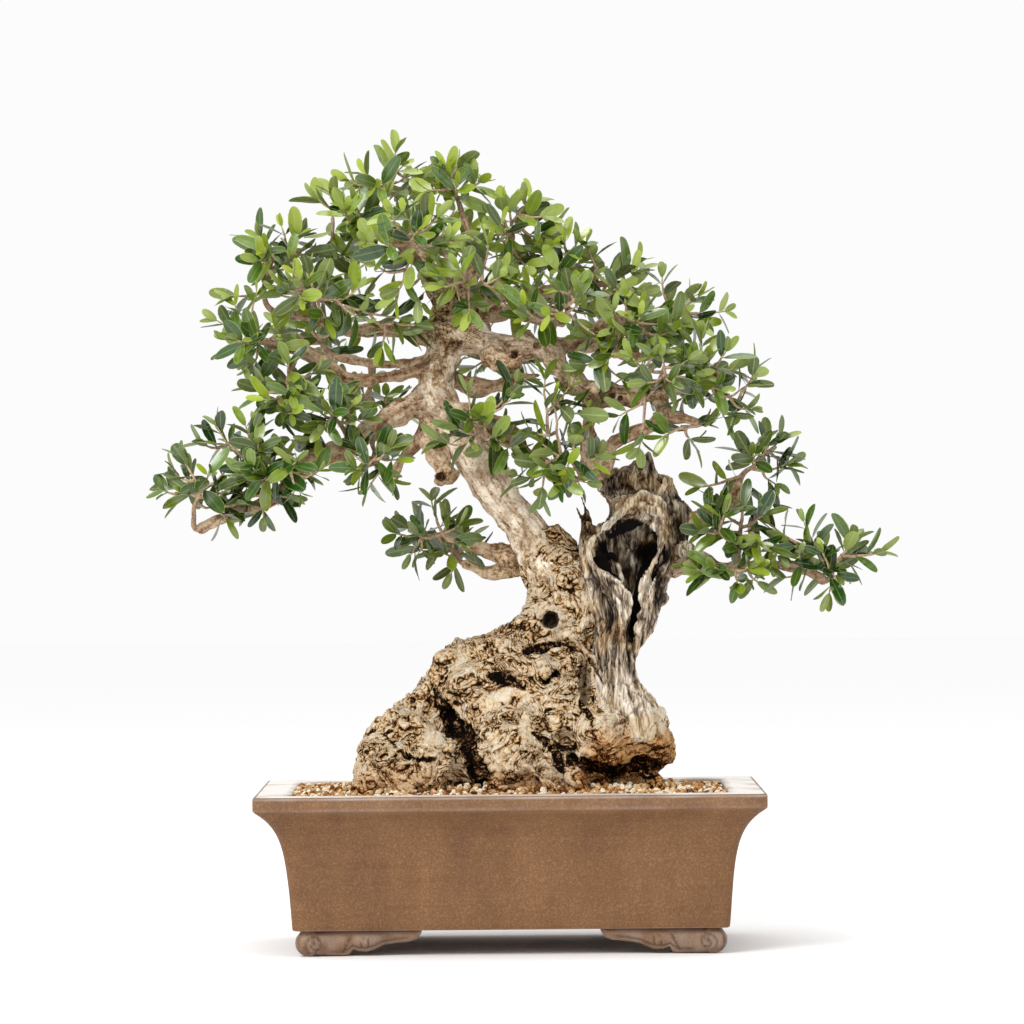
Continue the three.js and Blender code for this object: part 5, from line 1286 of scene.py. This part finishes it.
def make_buried_roots():
    """The roots below the surface, tapering out into the soil."""
    field = Field((-150, -80, 44), (156, 90, 140), 2.4)
    for root in BURIED_ROOTS:
        field.rod(root, 4)
    field.below(48, 1)
    points, quads = field.skin(0)
    points = points + normals_of(points, quads) * (1.6 * (noise(points, 9, 101) - 0.5))[:, None]
    nothing = np.zeros(len(points))
    marks = {"relief": noise(points, 5, 102), "damp": nothing + 1, "swirl": nothing, "rubbed": nothing}
    return make_piece("buried_roots", points, [quads], [bpy.data.materials["corky_olive_bark"]], marks)


# ---------------------------------------------------------------- foliage
LEAF_SLENDERNESS = 0.42  # width over length in the CAD model
SHOOT_STEP = 0.12  # share of the stem from one shoot to the next
GOLDEN_ANGLE = 2.39996  # from each shoot round to the next
TWIG_ROOM, LEAF_ROOM, WOOD_ROOM = 1.6, 2.5, 2.2  # kept clear round shoots, leaves and limbs, in mm


class Stream:
    """The repeatable numbers from 0 to 1 that the CAD model draws its shoots with."""

    def __init__(self, seed):
        self.state = seed
        self.draw()
        self.draw()

    def draw(self):
        self.state = (self.state * 1664525 + 1013904223) & 0xFFFFFFFF
        return self.state / 4294967296


def unit(v):
    """Vectors over their lengths."""
    return v / np.maximum(np.linalg.norm(v, axis=-1, keepdims=True), 1e-12)


def bezier(ends, t):
    """(1 - t)^2 a + 2 t (1 - t) b + t^2 c."""
    a, b, c = ends
    t = np.asarray(t, float)[..., None]
    return (1 - t) ** 2 * a + 2 * t * (1 - t) * b + t**2 * c


def heading(ends, t):
    """The unit direction of a Bezier curve at t."""
    low, high = max(0.0, t - 1e-4), min(1.0, t + 1e-4)
    return unit(bezier(ends, high) - bezier(ends, low))


def stem_of(spray):
    """A spray's stem: up and over from the middle of its limb to the middle of its foliage."""
    limb, station, middle = spray[:3]
    start, middle = np.array(LIMBS[limb][station][:3], float), np.array(middle, float)
    bend = (start + middle) / 2 + (0, 0, 0.12 * np.linalg.norm(start - middle))
    return start, bend, middle


def turned(vectors, axes, angle):
    """Vectors turned about unit axes: v cos + (a x v) sin + a (a . v) (1 - cos)."""
    cosine, sine = np.cos(angle)[..., None], np.sin(angle)[..., None]
    along = (axes * vectors).sum(-1, keepdims=True)
    return vectors * cosine + np.cross(axes, vectors) * sine + axes * along * (1 - cosine)


def leaf_axes(along, roll, sign, spread):
    """A leaf's direction, the normal of its upper side and the direction across it, where a pair opens from
    a shoot that runs along, turned by roll about it, each leaf spread away from it by that angle."""
    side = unit(np.stack([-along[..., 1], along[..., 0], np.zeros(along.shape[:-1])], -1))
    side = turned(side, along, roll)
    across = np.cross(along, side)
    sign, cosine, sine = sign[..., None], np.cos(spread)[..., None], np.sin(spread)[..., None]
    return along * cosine + side * sign * sine, along * sine - side * sign * cosine, across * sign


def shoot_points(shoot):
    """Points over a CAD shoot and its leaves, and the room kept round each."""
    root, tip, along, roll, spread, lengths = shoot
    rows = [root + (tip - root) * share for share in (0.35, 0.6, 0.85)]
    for sign, size in zip((1, -1), lengths):
        reach = 0.42 * LEAF_SLENDERNESS * size
        axis, normal, outward = leaf_axes(along, *(np.float64(value) for value in (roll, sign, spread)))
        for share in (0.2, 0.4, 0.6, 0.8):
            middle, droop = tip + axis * share * size, normal * 0.1 * share**2 * size
            rows += [middle + outward * across - droop for across in (-reach, 0, reach)]
        rows.append(tip + axis * size - normal * 0.1 * size)
    return np.array(rows), np.array([TWIG_ROOM] * 3 + [LEAF_ROOM] * (len(rows) - 3))


WOOD_LINES = (*LIMBS.values(), *STRANDS)
WOOD_SEGMENTS = np.array([(*a, *b) for line in WOOD_LINES for a, b in zip(line[:-1], line[1:])], float)


def wood_gap(points):
    """Each point's distance to the nearest limb or strand, less the wood's radius there."""
    start, start_radius = WOOD_SEGMENTS[:, :3], WOOD_SEGMENTS[:, 3]
    span, end_radius = WOOD_SEGMENTS[:, 4:7] - start, WOOD_SEGMENTS[:, 7]
    away = points[:, None] - start[None]
    share = np.clip((away * span).sum(2) / (span**2).sum(1), 0, 1)
    gap = norms(away - share[:, :, None] * span)
    return (gap - start_radius - share * (end_radius - start_radius)).min(1)


def draw_shoot(spray, stem, k, around0, stream):
    """One place for shoot k of a spray, drawn as the CAD model draws it."""
    _, _, middle, reach, shoots, _ = spray
    share = (k + 0.5) / shoots
    rise = math.asin(-0.6 + 1.55 * share + 0.3 * (stream.draw() - 0.5))
    around = around0 + k * GOLDEN_ANGLE + 2 * (stream.draw() - 0.5)
    far = 0.75 + 0.4 * stream.draw()
    direction = np.array([math.cos(rise) * math.cos(around), math.cos(rise) * math.sin(around), math.sin(rise)])
    if k + 1 == shoots:
        direction = unit(direction * 0.6 + heading(stem, 1.0))
    tip = np.array(middle, float) + direction * np.array(reach, float) * far
    root = bezier(stem, min(1.0, 1 - SHOOT_STEP * (shoots - 1.5 - k)))
    along = unit(unit(tip - root) + (0, 0, 0.3))
    roll = stream.draw() * math.pi
    spread = 0.65 + 0.4 * stream.draw()
    lengths = [21 + 10 * stream.draw(), 21 + 10 * stream.draw()]
    return root, tip, along, roll, spread, lengths


def plan_shoots():
    """Every spray's shoots, where the CAD model has them: each takes the first drawn place that is clear of
    the wood and of all that was placed before it, the end shoot of a spray first."""
    stems = [stem_of(spray) for spray in SPRAYS.values()]
    taken = [np.concatenate([bezier(stem, np.arange(3, 11) / 10) for stem in stems])]
    rooms = [np.full(len(taken[0]), TWIG_ROOM)]
    plans = []
    for number, spray in enumerate(SPRAYS.values()):
        stream = Stream(9001 + 97 * number + spray[5])
        around0 = stream.draw() * math.tau
        stem, shoots, found = stems[number], spray[4], {}
        for k in [shoots - 1, *range(shoots - 1)]:
            near, room = np.concatenate(taken), np.concatenate(rooms)
            close = norms(near - spray[2]) < 90
            near, room = near[close], room[close]
            for _ in range(200):
                shoot = draw_shoot(spray, stem, k, around0, stream)
                points, keep = shoot_points(shoot)
                reach = shoot[1] - shoot[0]
                size = np.linalg.norm(reach)
                turn = reach @ heading(stem, 0.95) / size
                if not size > 9 or not (abs(turn) < 0.75 if k + 1 < shoots else turn > 0.55):
                    continue
                apart = norms(points[:, None] - near[None])
                if (apart > keep[:, None] + room[None]).all() and (wood_gap(points) > WOOD_ROOM).all():
                    found[k] = shoot
                    taken.append(points)
                    rooms.append(keep)
                    break
        plans.append([found[k] for k in sorted(found)])
    return plans


# How far the finished foliage stands from a spray's CAD middle in x and z, and single shoots set where a
# spray is thin.
NUDGES = {
    "left_up_tip": (22, 6), "left_mid_tip": (28, 6), "left_mid": (14, 0), "left_low_tip": (12, 10),
    "right_tip": (-32, -14), "right_low_tip": (-22, 2), "right_under": (-18, 8), "low_right_tip": (-16, -6),
    "low_right_under": (-2, 9), "low_right_mid": (0, 10), "left_low_front": (0, 4), "low_left_tip": (6, -9),
    "crown_right_tip": (-8, -18), "low_right_top": (8, -2), "crown_top": (0, -8), "apex_left": (14, 4),
}
LONE_SHOOTS = {
    "apex_front": [(-84, -54, 524), (-96, -50, 538), (-70, -44, 516), (-66, -46, 536)],
    "left_up_front": [
        (-122, -44, 520), (-118, -40, 502), (-92, -36, 502), (-84, -30, 488), (-98, -34, 484), (-74, -34, 496),
    ],
    "right_mid": [(84, -52, 470), (70, -50, 482), (64, -54, 462), (86, -54, 454), (72, -52, 448)],
    "front_centre": [
        (38, -66, 426), (24, -64, 408), (30, -66, 444), (46, -66, 438), (54, -62, 424), (20, -60, 384),
        (28, -62, 366), (12, -58, 374),
    ],
    "front_left": [(-30, -60, 436), (-2, -66, 430), (4, -60, 442), (-24, -60, 422)],
    "low_right_tip": [(238, -30, 330), (224, -30, 318), (242, -30, 306), (214, -26, 330), (222, -26, 292)],
    "low_right_mid": [(160, -40, 328), (178, -42, 320), (196, -40, 322), (208, -36, 314)],
    "low_right_top": [(214, -14, 398), (222, -14, 384), (208, -16, 370), (160, -24, 366)],
    "crown_right_front": [(20, -60, 498), (66, -62, 488)], "crown_front": [(-14, -50, 552), (-6, -54, 536)],
    "apex_left": [(-112, -4, 556), (-136, -4, 598), (-146, -4, 594), (-138, -4, 572), (-140, -2, 556)],
    "left_mid": [(-172, -58, 462), (-154, -56, 456)], "left_mid_in": [(-150, -64, 410), (-164, -62, 404)],
    "left_low_mid": [(-178, -74, 360), (-192, -76, 350), (-206, -76, 362), (-226, -52, 410), (-236, -56, 400)],
    "left_low_tip": [(-224, -80, 346), (-214, -78, 354)], "right_front": [(96, -62, 424), (106, -60, 402)],
    "right_low_tip": [(170, -46, 424), (140, -48, 436), (184, -44, 440), (188, -44, 426), (194, -42, 452)],
    "left_mid_tip": [(-214, -30, 506), (-200, -28, 513), (-224, -30, 497)],
    "low_left_tip": [(-60, 16, 350)], "crown_right_tip": [(66, 6, 556)], "left_up_tip": [(-214, -20, 520)],
    "crown_top": [(26, -4, 566), (0, -20, 556), (14, -16, 544), (16, -10, 590)], "apex_top": [(-88, 8, 634)],
    "right_tip": [(148, -10, 512), (150, -14, 496), (126, -2, 526), (170, -8, 504)],
}
SPARSE = ("right_under", "right_tip", "low_right_top")  # sprays with no more shoots


def more_shoots(spray, stem, shoots, lone, count, random):
    """More shoots of a spray between those of the CAD model, whose tips keep 9 mm apart: each springs from
    the nearest of the stem and the earlier shoots."""
    tips = [shoot[1] for shoot in shoots]
    made = []
    middle, reach = np.array(spray[2], float), np.array(spray[3], float)
    roots = [*bezier(stem, np.linspace(0.4, 0.98, 8)), *(shoot[0] + 0.45 * (shoot[1] - shoot[0]) for shoot in shoots)]
    for number in range(len(lone) + count):
        for _ in range(30):
            if number < len(lone):
                tip = np.array(lone[number], float)
            else:
                tip = middle + unit(random.normal(size=3) + (0, 0, 0.2)) * reach * random.uniform(0.55, 1.45)
            root = min(roots, key=lambda place: np.linalg.norm(place - tip))
            apart = min(np.linalg.norm(tip - other) for other in tips)
            size = np.linalg.norm(tip - root)
            if number < len(lone) or (apart > 9 and 9 < size < 40 and wood_gap(tip[None])[0] > 6):
                along = unit(unit(tip - root) + (0, 0, random.uniform(0.1, 0.7)))
                lengths = list(random.uniform(19, 29, 2))
                made.append((root, tip, along, random.uniform(0, math.pi), random.uniform(0.6, 1.1), lengths))
                tips.append(tip)
                roots.append(root + 0.5 * (tip - root))
                break
    return made


def tube_skin(path, radii, sides):
    """A round tube along a path: each ring is the path's point + r (n cos a + b sin a), with n and b square
    to the path; both ends are closed."""
    tangent = unit(np.gradient(path, axis=0))
    guide = np.eye(3)[np.argmin(np.abs(tangent.mean(0)))]
    n = unit(guide - (tangent @ guide)[:, None] * tangent)
    b = np.cross(tangent, n)
    turn = np.arange(sides) * math.tau / sides
    ring = n[:, None] * np.cos(turn)[None, :, None] + b[:, None] * np.sin(turn)[None, :, None]
    points = (path[:, None] + ring * np.asarray(radii)[:, None, None]).reshape(-1, 3)
    return points, closed_tube(len(path), sides)


LEAF_SHARES = np.array([0, 0.08, 0.17, 0.34, 0.55, 0.76, 0.9, 0.97, 1.0])
LEAF_ACROSS = np.array([-1, 0, 1.0])
SKY = unit(np.array([-0.1, -0.85, 0.9]))  # where the leaves turn their upper sides


def leaf_faces():
    """One leaf's faces: its upper side, its under side, which meets it along both edges, and both ends."""
    rows, columns = len(LEAF_SHARES), len(LEAF_ACROSS)
    top = grid_faces(rows, columns, closed=False)[:, ::-1]
    under = rows * columns + np.arange(rows)
    left, right = np.arange(rows) * columns, np.arange(rows) * columns + columns - 1
    below = [np.stack([a[:-1], b[:-1], b[1:], a[1:]], 1) for a, b in ((left, under), (under, right))]
    first = np.array([[*range(columns), under[0]]])
    last = np.array([[*range((rows - 1) * columns, rows * columns), under[-1]]])[:, ::-1]
    return top, np.concatenate(below), np.concatenate([first, last])


def leaf_skins(base, axis, normal, outward, size, slender, arch, cup, wave):
    """Many leaves at once. At a share t along and u across, a leaf's upper side is base + t L axis + u w
    outward + (cup |u| w - arch t^2 L + wave) normal. Its half width w is the petiole's, then s^0.6
    (1 - s)^0.5 over its greatest value, with s the share past the petiole, so it is widest at 0.55."""
    t, u = LEAF_SHARES[None, :, None], LEAF_ACROSS[None, None, :]
    s = np.clip((t - 0.07) / 0.93, 0, 1)
    shape = np.maximum(s**0.6 * (1 - s) ** 0.5 / 0.469, np.where(t < 0.1, 0.1, 0.03))
    half = shape * (size * slender / 2)[:, None, None]
    lift = cup[:, None, None] * np.abs(u) * half - (arch * size)[:, None, None] * t**2
    lift = lift + wave[:, None, None] * u * np.sin(7 * t) * half
    long = (t * size[:, None, None])[..., None] * axis[:, None, None]
    wide = (u * half)[..., None] * outward[:, None, None]
    top = base[:, None, None] + long + wide + lift[..., None] * normal[:, None, None]
    thick = 0.4 * np.sin(np.pi * np.clip(LEAF_SHARES, 0.08, 0.94)) + 0.12
    under = top[:, :, 1] - thick[None, :, None] * normal[:, None]
    points = np.concatenate([top.reshape(len(base), -1, 3), under], 1)
    flat = shape.shape[:2] + (len(LEAF_ACROSS),)
    uv = np.stack([np.broadcast_to((u + 1) / 2, flat), np.broadcast_to(t, flat)], -1)[0].reshape(-1, 2)
    return points, np.concatenate([uv, np.stack([np.full(len(LEAF_SHARES), 0.5), LEAF_SHARES], 1)])


def leaves_of(shoot, random, settings):
    """A shoot's leaves, in opposite pairs each turned a quarter from the last: the CAD model's pair near the
    tip, a small young pair above it, and older pairs 7 to 10 mm apart back along the shoot. Each is a row of
    its base, the shoot's direction there, the pair's roll, its sign, spread, length, and how young it is."""
    root, tip, along, roll, spread, lengths = shoot
    reach = np.linalg.norm(tip - root)
    curve = (root, tip - along * 0.45 * reach, tip)
    youth = random.uniform(0, 1) ** 1.5
    longest = settings.longest_leaf * METRE
    rows = [
        (tip, along, roll, sign, spread * random.uniform(0.8, 1.15), longest * size / 32, 0.5 * youth)
        for sign, size in zip((1, -1), lengths)
    ]
    bud = tip + along * random.uniform(4, 7)
    small = longest * random.uniform(0.4, 0.66)
    for sign in (1, -1):
        size = small * random.uniform(0.85, 1.15)
        rows.append((bud, along, roll + math.pi / 2, sign, random.uniform(0.25, 0.75), size, 0.55 + 0.45 * youth))
    back = 0.0
    for pair in range(4):
        back += random.uniform(7, 10)
        if back > reach - 3:
            break
        place, direction = bezier(curve, 1 - back / reach), heading(curve, 1 - back / reach)
        for sign in (1, -1):
            if random.uniform() < 0.6:
                size = random.uniform(*(length * METRE for length in (settings.shortest_leaf, settings.longest_leaf)))
                turn = roll + (pair + 1) * math.pi / 2 + random.normal(0, 0.25)
                rows.append((place, direction, turn, sign, random.uniform(0.75, 1.35), size, 0.25 * youth))
    return np.concatenate([bezier(curve, np.linspace(0, 1, 8)), bud[None]]), rows


def crooked(places):
    """The places moved by up to 1.2 mm by one noise, so that shoots are crooked and keep their leaves."""
    return places + 2.4 * (noise(places, 8, 111)[:, None] - 0.5) * (1.0, 0.8, -0.7)


def make_spray(name, spray, plan, materials, settings, random):
    """One leafy spray: its stem, its shoots and all their leaves."""
    limb, station, middle, reach, _, _ = spray
    nudge = np.insert(np.array(NUDGES.get(name, (0, 0)), float), 1, 0)
    spray = (limb, station, np.array(middle) + nudge, reach)
    start, bend, end = stem_of(spray)
    line = np.array(LIMBS[limb], float)[:, :3]
    if station == len(line) - 1:
        bend = start + unit(start - line[-2]) * 0.5 * np.linalg.norm(end - start)
    stem = (start, bend, end)
    places = bezier(stem, np.linspace(0.3, 1, 12))
    shoots = []
    for root, tip, *rest in plan:
        root = min(places, key=lambda place: np.linalg.norm(place - root - 0.7 * nudge))
        shoots.append((root, tip + nudge, *rest))
    count = 0 if name in SPARSE else settings.extra_shoots
    extra = more_shoots(spray, stem, shoots, LONE_SHOOTS.get(name, ()), count, random)
    radii = np.linspace(min(2.8, 0.85 * LIMBS[limb][station][3]), 1.3, 16)
    tubes = [(bezier(stem, np.linspace(0, 1, 16)), radii, 8, 1.0)]
    rows, skins, bark_tint = [], [], []
    for shoot in [*shoots, *extra]:
        path, leaves = leaves_of(shoot, random, settings)
        rows += leaves
        tubes.append((path, np.linspace(1.6, 0.7, 9), 6, 0.6))
    for path, radius, sides, old in tubes:
        skins.append(tube_skin(crooked(path), radius, sides))
        bark_tint.append(np.repeat(np.linspace(old, old - 0.5, len(path)), sides))
    bark, bark_faces = joined(skins)
    base, along = np.array([row[0] for row in rows]), np.array([row[1] for row in rows])
    roll, sign, spread, size, young = (np.array([row[i] for row in rows], float) for i in range(2, 7))
    count = len(rows)
    base = crooked(base)
    axis, normal, outward = leaf_axes(along, roll, sign, spread)
    axis = unit(axis + random.normal(0, 0.16, (count, 3)))
    sky = unit(SKY - (axis @ SKY)[:, None] * axis)
    normal = normal - (normal * axis).sum(1)[:, None] * axis
    normal = unit(unit(normal) + sky * random.uniform(0, 1.1, count)[:, None] + random.normal(0, 0.25, (count, 3)))
    normal = unit(normal - (normal * axis).sum(1)[:, None] * axis)
    outward = np.cross(normal, axis)
    middle = base + axis * (size * 0.6)[:, None]
    keep = (wood_gap(middle) > 0.6) & (wood_gap(base + axis * size[:, None]) > 0.2)
    high = ease(380, 620, base[:, 2])
    tint = np.clip(random.normal(0.16, 0.27, count) + 0.3 * high, 0, 1)
    young = np.clip(young * (0.5 + 0.7 * high) + 0.6 * (random.uniform(0, 1, count) < 0.1 + 0.25 * high), 0, 1)
    young = young * random.uniform(0.6, 1.1, count)
    arch = np.where(young > 0.6, 0.02, random.uniform(0.02, 0.2, count))
    ranges = (0.31, 0.47), (0.05, 0.3), (-0.14, 0.14)
    slender, cup, wave = (random.uniform(low, high, count) for low, high in ranges)
    points, uv = leaf_skins(*(row[keep] for row in (base, axis, normal, outward, size, slender, arch, cup, wave)))
    per = points.shape[1]
    firsts = len(bark) + per * np.arange(len(points))[:, None, None]
    top, below, caps = leaf_faces()
    faces = [*bark_faces, *((block[None] + firsts).reshape(-1, block.shape[1]) for block in (top, below, caps))]
    bark_count = sum(len(block) for block in bark_faces)
    kinds = np.repeat((0, 1, 2), (bark_count, len(points) * len(top), len(points) * (len(below) + len(caps))))
    marks = {
        "tint": np.concatenate([*bark_tint, np.repeat(tint[keep], per)]),
        "young": np.concatenate([np.zeros(len(bark)), np.repeat(np.clip(young, 0, 1)[keep], per)]),
    }
    uv = np.concatenate([np.zeros((len(bark), 2)), np.tile(uv, (len(points), 1))])
    points = np.concatenate([bark, points.reshape(-1, 3)])
    return make_piece("leaves_" + name, points, faces, materials, marks, uv, kinds, creased=True)


# ---------------------------------------------------------------- settings
def size_of(name, description, default, low=0.0):
    """A length that a user can change."""
    return FloatProperty(name=name, description=description, default=default, min=low, unit="LENGTH", precision=4)


def colour_of(name, description, default):
    """A colour that a user can change."""
    return FloatVectorProperty(
        name=name, description=description, default=linear(default), min=0, max=1, size=3, subtype="COLOR"
    )


class PotSettings(bpy.types.PropertyGroup):
    length: size_of("Length", "Length over the lip", POT_HIGH.x - POT_LOW.x)
    depth: size_of("Depth", "Depth over the lip", POT_HIGH.y - POT_LOW.y)
    height: size_of("Height", "Height from the table to the rim", POT_HIGH.z)
    colour: colour_of("Clay", "Colour of the fired clay", "#876444")
    # Near white: the rubbed rim's paler clay together with the painted glare on its top.
    rim_wear_and_glare_colour: colour_of("Rim", "Colour of the rubbed rim", "#e9e2da")


class SoilSettings(bpy.types.PropertyGroup):
    grain: size_of("Grain", "Width of a middling grain", 0.0056, 0.003)


class WoodSettings(bpy.types.PropertyGroup):
    base_pitch: size_of("Base detail", "Grid size of the root base", 0.0015, 0.0008)
    deadwood_pitch: size_of("Deadwood detail", "Grid size of the old trunk", 0.0012, 0.0008)
    limb_pitch: size_of("Limb detail", "Grid size of the limbs", 0.0015, 0.0008)


class FoliageSettings(bpy.types.PropertyGroup):
    shortest_leaf: size_of("Shortest leaf", "Length of the shortest older leaf", 0.018, 0.01)
    longest_leaf: size_of("Longest leaf", "Length of the longest older leaf", 0.031, 0.01)
    extra_shoots: IntProperty(name="More shoots", description="Shoots added to each spray", default=6, min=0, max=20)
    leaf_colour: colour_of("Leaf", "Upper side of a grown leaf", "#194311")
    young_colour: colour_of("Young leaf", "Upper side of a young leaf", "#9eae30")
    under_colour: colour_of("Under side", "Under side of a grown leaf", "#687649")


class StageSettings(bpy.types.PropertyGroup):
    floor_colour: colour_of("Floor", "Colour of the floor", "#fdfdfd")
    room_light: FloatProperty(name="Room light", description="Brightness of the white room", default=0.975, min=0)
    lens: FloatProperty(name="Lens", description="Focal length in millimetres", default=182.8, min=20)


SETTINGS = {
    "bonsai_pot": PotSettings,
    "bonsai_soil": SoilSettings,
    "bonsai_wood": WoodSettings,
    "bonsai_foliage": FoliageSettings,
    "bonsai_stage": StageSettings,
}


def belongs(piece, slot, *nodes):
    """The piece rides on the frame's one body and stands for CAD nodes, which it hides. The slot is not used."""
    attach(piece, "root")
    if nodes:
        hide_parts(*nodes)


# ---------------------------------------------------------------- operators
class BONSAI_OT_pot(bpy.types.Operator):
    """Make the stoneware pot and its cloud feet"""

    bl_idname = "bonsai.make_pot"
    bl_label = "Pot"

    def execute(self, context):
        settings = context.scene.bonsai_pot
        belongs(make_pot_shell(settings), "stoneware", "pot")
        belongs(make_feet(settings), "stoneware", "pot")
        return {"FINISHED"}


class BONSAI_OT_soil(bpy.types.Operator):
    """Finish the drain screens and the soil, and strew the grains"""

    bl_idname = "bonsai.make_soil"
    bl_label = "Soil and screens"

    def execute(self, context):
        finishes = {"drain_screen_left": screen_plastic, "drain_screen_right": screen_plastic, "soil": moist_soil}
        for name, finish in finishes.items():
            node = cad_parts[name]
            node.data.materials.clear()
            node.data.materials.append(finish())
        belongs(make_grains(context.scene.bonsai_soil), "substrate")
        return {"FINISHED"}


class BONSAI_OT_base(bpy.types.Operator):
    """Grow the burred root base and its buried roots"""

    bl_idname = "bonsai.make_base"
    bl_label = "Root base"

    def execute(self, context):
        belongs(make_base(context.scene.bonsai_wood), "olive_wood", "wood")
        belongs(make_buried_roots(), "olive_wood", "wood")
        return {"FINISHED"}


class BONSAI_OT_old_trunk(bpy.types.Operator):
    """Grow the hollow old trunk"""

    bl_idname = "bonsai.make_old_trunk"
    bl_label = "Old trunk"

    def execute(self, context):
        belongs(make_old_trunk(context.scene.bonsai_wood), "olive_wood", "wood")
        return {"FINISHED"}


class BONSAI_OT_limbs(bpy.types.Operator):
    """Grow the live trunk and the limbs"""

    bl_idname = "bonsai.make_limbs"
    bl_label = "Trunk and limbs"

    def execute(self, context):
        belongs(make_limbs(context.scene.bonsai_wood), "olive_wood", "wood")
        return {"FINISHED"}


class BONSAI_OT_foliage(bpy.types.Operator):
    """Grow every leafy spray"""

    bl_idname = "bonsai.make_foliage"
    bl_label = "Foliage"

    def execute(self, context):
        settings = context.scene.bonsai_foliage
        materials = [shoot_bark(), leaf_top(settings), leaf_under(settings)]
        plans = plan_shoots()
        for number, (name, spray) in enumerate(SPRAYS.items()):
            random = np.random.default_rng(7000 + number)
            belongs(make_spray(name, spray, plans[number], materials, settings, random), "foliage", "spray_" + name)
        return {"FINISHED"}


def aimed(name, data, place, target, roll=0.0):
    """A light or camera at a place, looking at a target and rolled by some degrees."""
    thing = bpy.data.objects.new(name, data)
    thing.location = place
    level = (Vector(target) - thing.location).to_track_quat("-Z", "Y")
    thing.rotation_euler = (level @ Euler((0, 0, math.radians(roll))).to_quaternion()).to_euler()
    bpy.context.scene.collection.objects.link(thing)
    return thing


class BONSAI_OT_stage(bpy.types.Operator):
    """Set up the floor, the soft studio light and the camera"""

    bl_idname = "bonsai.make_stage"
    bl_label = "Stage"

    def execute(self, context):
        scene, settings = context.scene, context.scene.bonsai_stage
        rings, sides, below = np.array([[1.0], [300], [900], [2600], [9000]]), 96, -0.3
        turn = np.arange(sides) * math.tau / sides
        disc = np.stack([rings * np.cos(turn), rings * np.sin(turn), np.full((len(rings), sides), below)], 2)
        material, add, place = new_material("pale_matt_floor")
        mottle = add("TexNoise", {"Vector": place, "Scale": 3})
        colour = settings.floor_colour
        tone = add("ValToRGB", {"Fac": mottle}, [(0.2, [c * 0.995 for c in colour]), (0.8, colour)])
        finished(material, tone, 0.9, 0.0)
        faces = [grid_faces(len(rings), sides), np.arange(sides)[None]]
        make_piece("floor", disc.reshape(-1, 3), faces, [material])
        world = bpy.data.worlds.new("soft_white_room")
        scene.world = world
        world.use_nodes = True
        room = world.node_tree.nodes["Background"].inputs
        room["Color"].default_value, room["Strength"].default_value = (1, 1, 1, 1), settings.room_light
        for name, place, size, power in (
            ("key_softbox", (-1.3, -1.9, 1.9), 1.2, 45),
            ("fill_softbox", (1.8, -1.5, 1.1), 1.6, 3),
            ("top_softbox", (0.2, 0.5, 2.2), 1.4, 9),
        ):
            light = bpy.data.lights.new(name, "AREA")
            light.size, light.energy = size, power
            aimed(name, light, place, (MIDDLE.x, 0, 0.33))
        data = bpy.data.cameras.new("camera")
        data.lens, data.sensor_width = settings.lens, 36
        data.clip_start, data.clip_end = 0.1, 100
        beside = MIDDLE.x + 0.0035
        scene.camera = aimed("camera", data, (beside, -4.16, 0.356), (beside, 0, 0.346), roll=-0.5)
        scene.view_settings.view_transform = "Standard"
        return {"FINISHED"}


OPERATORS = (
    BONSAI_OT_stage,
    BONSAI_OT_pot,
    BONSAI_OT_soil,
    BONSAI_OT_base,
    BONSAI_OT_old_trunk,
    BONSAI_OT_limbs,
    BONSAI_OT_foliage,
)


class BONSAI_PT_panel(bpy.types.Panel):
    """The bonsai's pieces and their sizes and colours"""

    bl_idname = "BONSAI_PT_panel"
    bl_label = "Olive bonsai"
    bl_space_type = "VIEW_3D"
    bl_region_type = "UI"
    bl_category = "Bonsai"

    def draw(self, context):
        for label, group in SETTINGS.items():
            box = self.layout.box()
            for name in group.__annotations__:
                box.prop(getattr(context.scene, label), name)
        for operator in OPERATORS:
            self.layout.operator(operator.bl_idname)


def register():
    for group in (*SETTINGS.values(), *OPERATORS, BONSAI_PT_panel):
        bpy.utils.register_class(group)
    for label, group in SETTINGS.items():
        setattr(bpy.types.Scene, label, PointerProperty(type=group))


def unregister():
    for label in SETTINGS:
        delattr(bpy.types.Scene, label)
    for group in reversed((*SETTINGS.values(), *OPERATORS, BONSAI_PT_panel)):
        bpy.utils.unregister_class(group)


def main():
    """Register the add-on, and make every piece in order."""
    register()
    for operator in OPERATORS:
        family, name = operator.bl_idname.split(".")
        getattr(getattr(bpy.ops, family), name)()


if __name__ == "__main__":
    main()
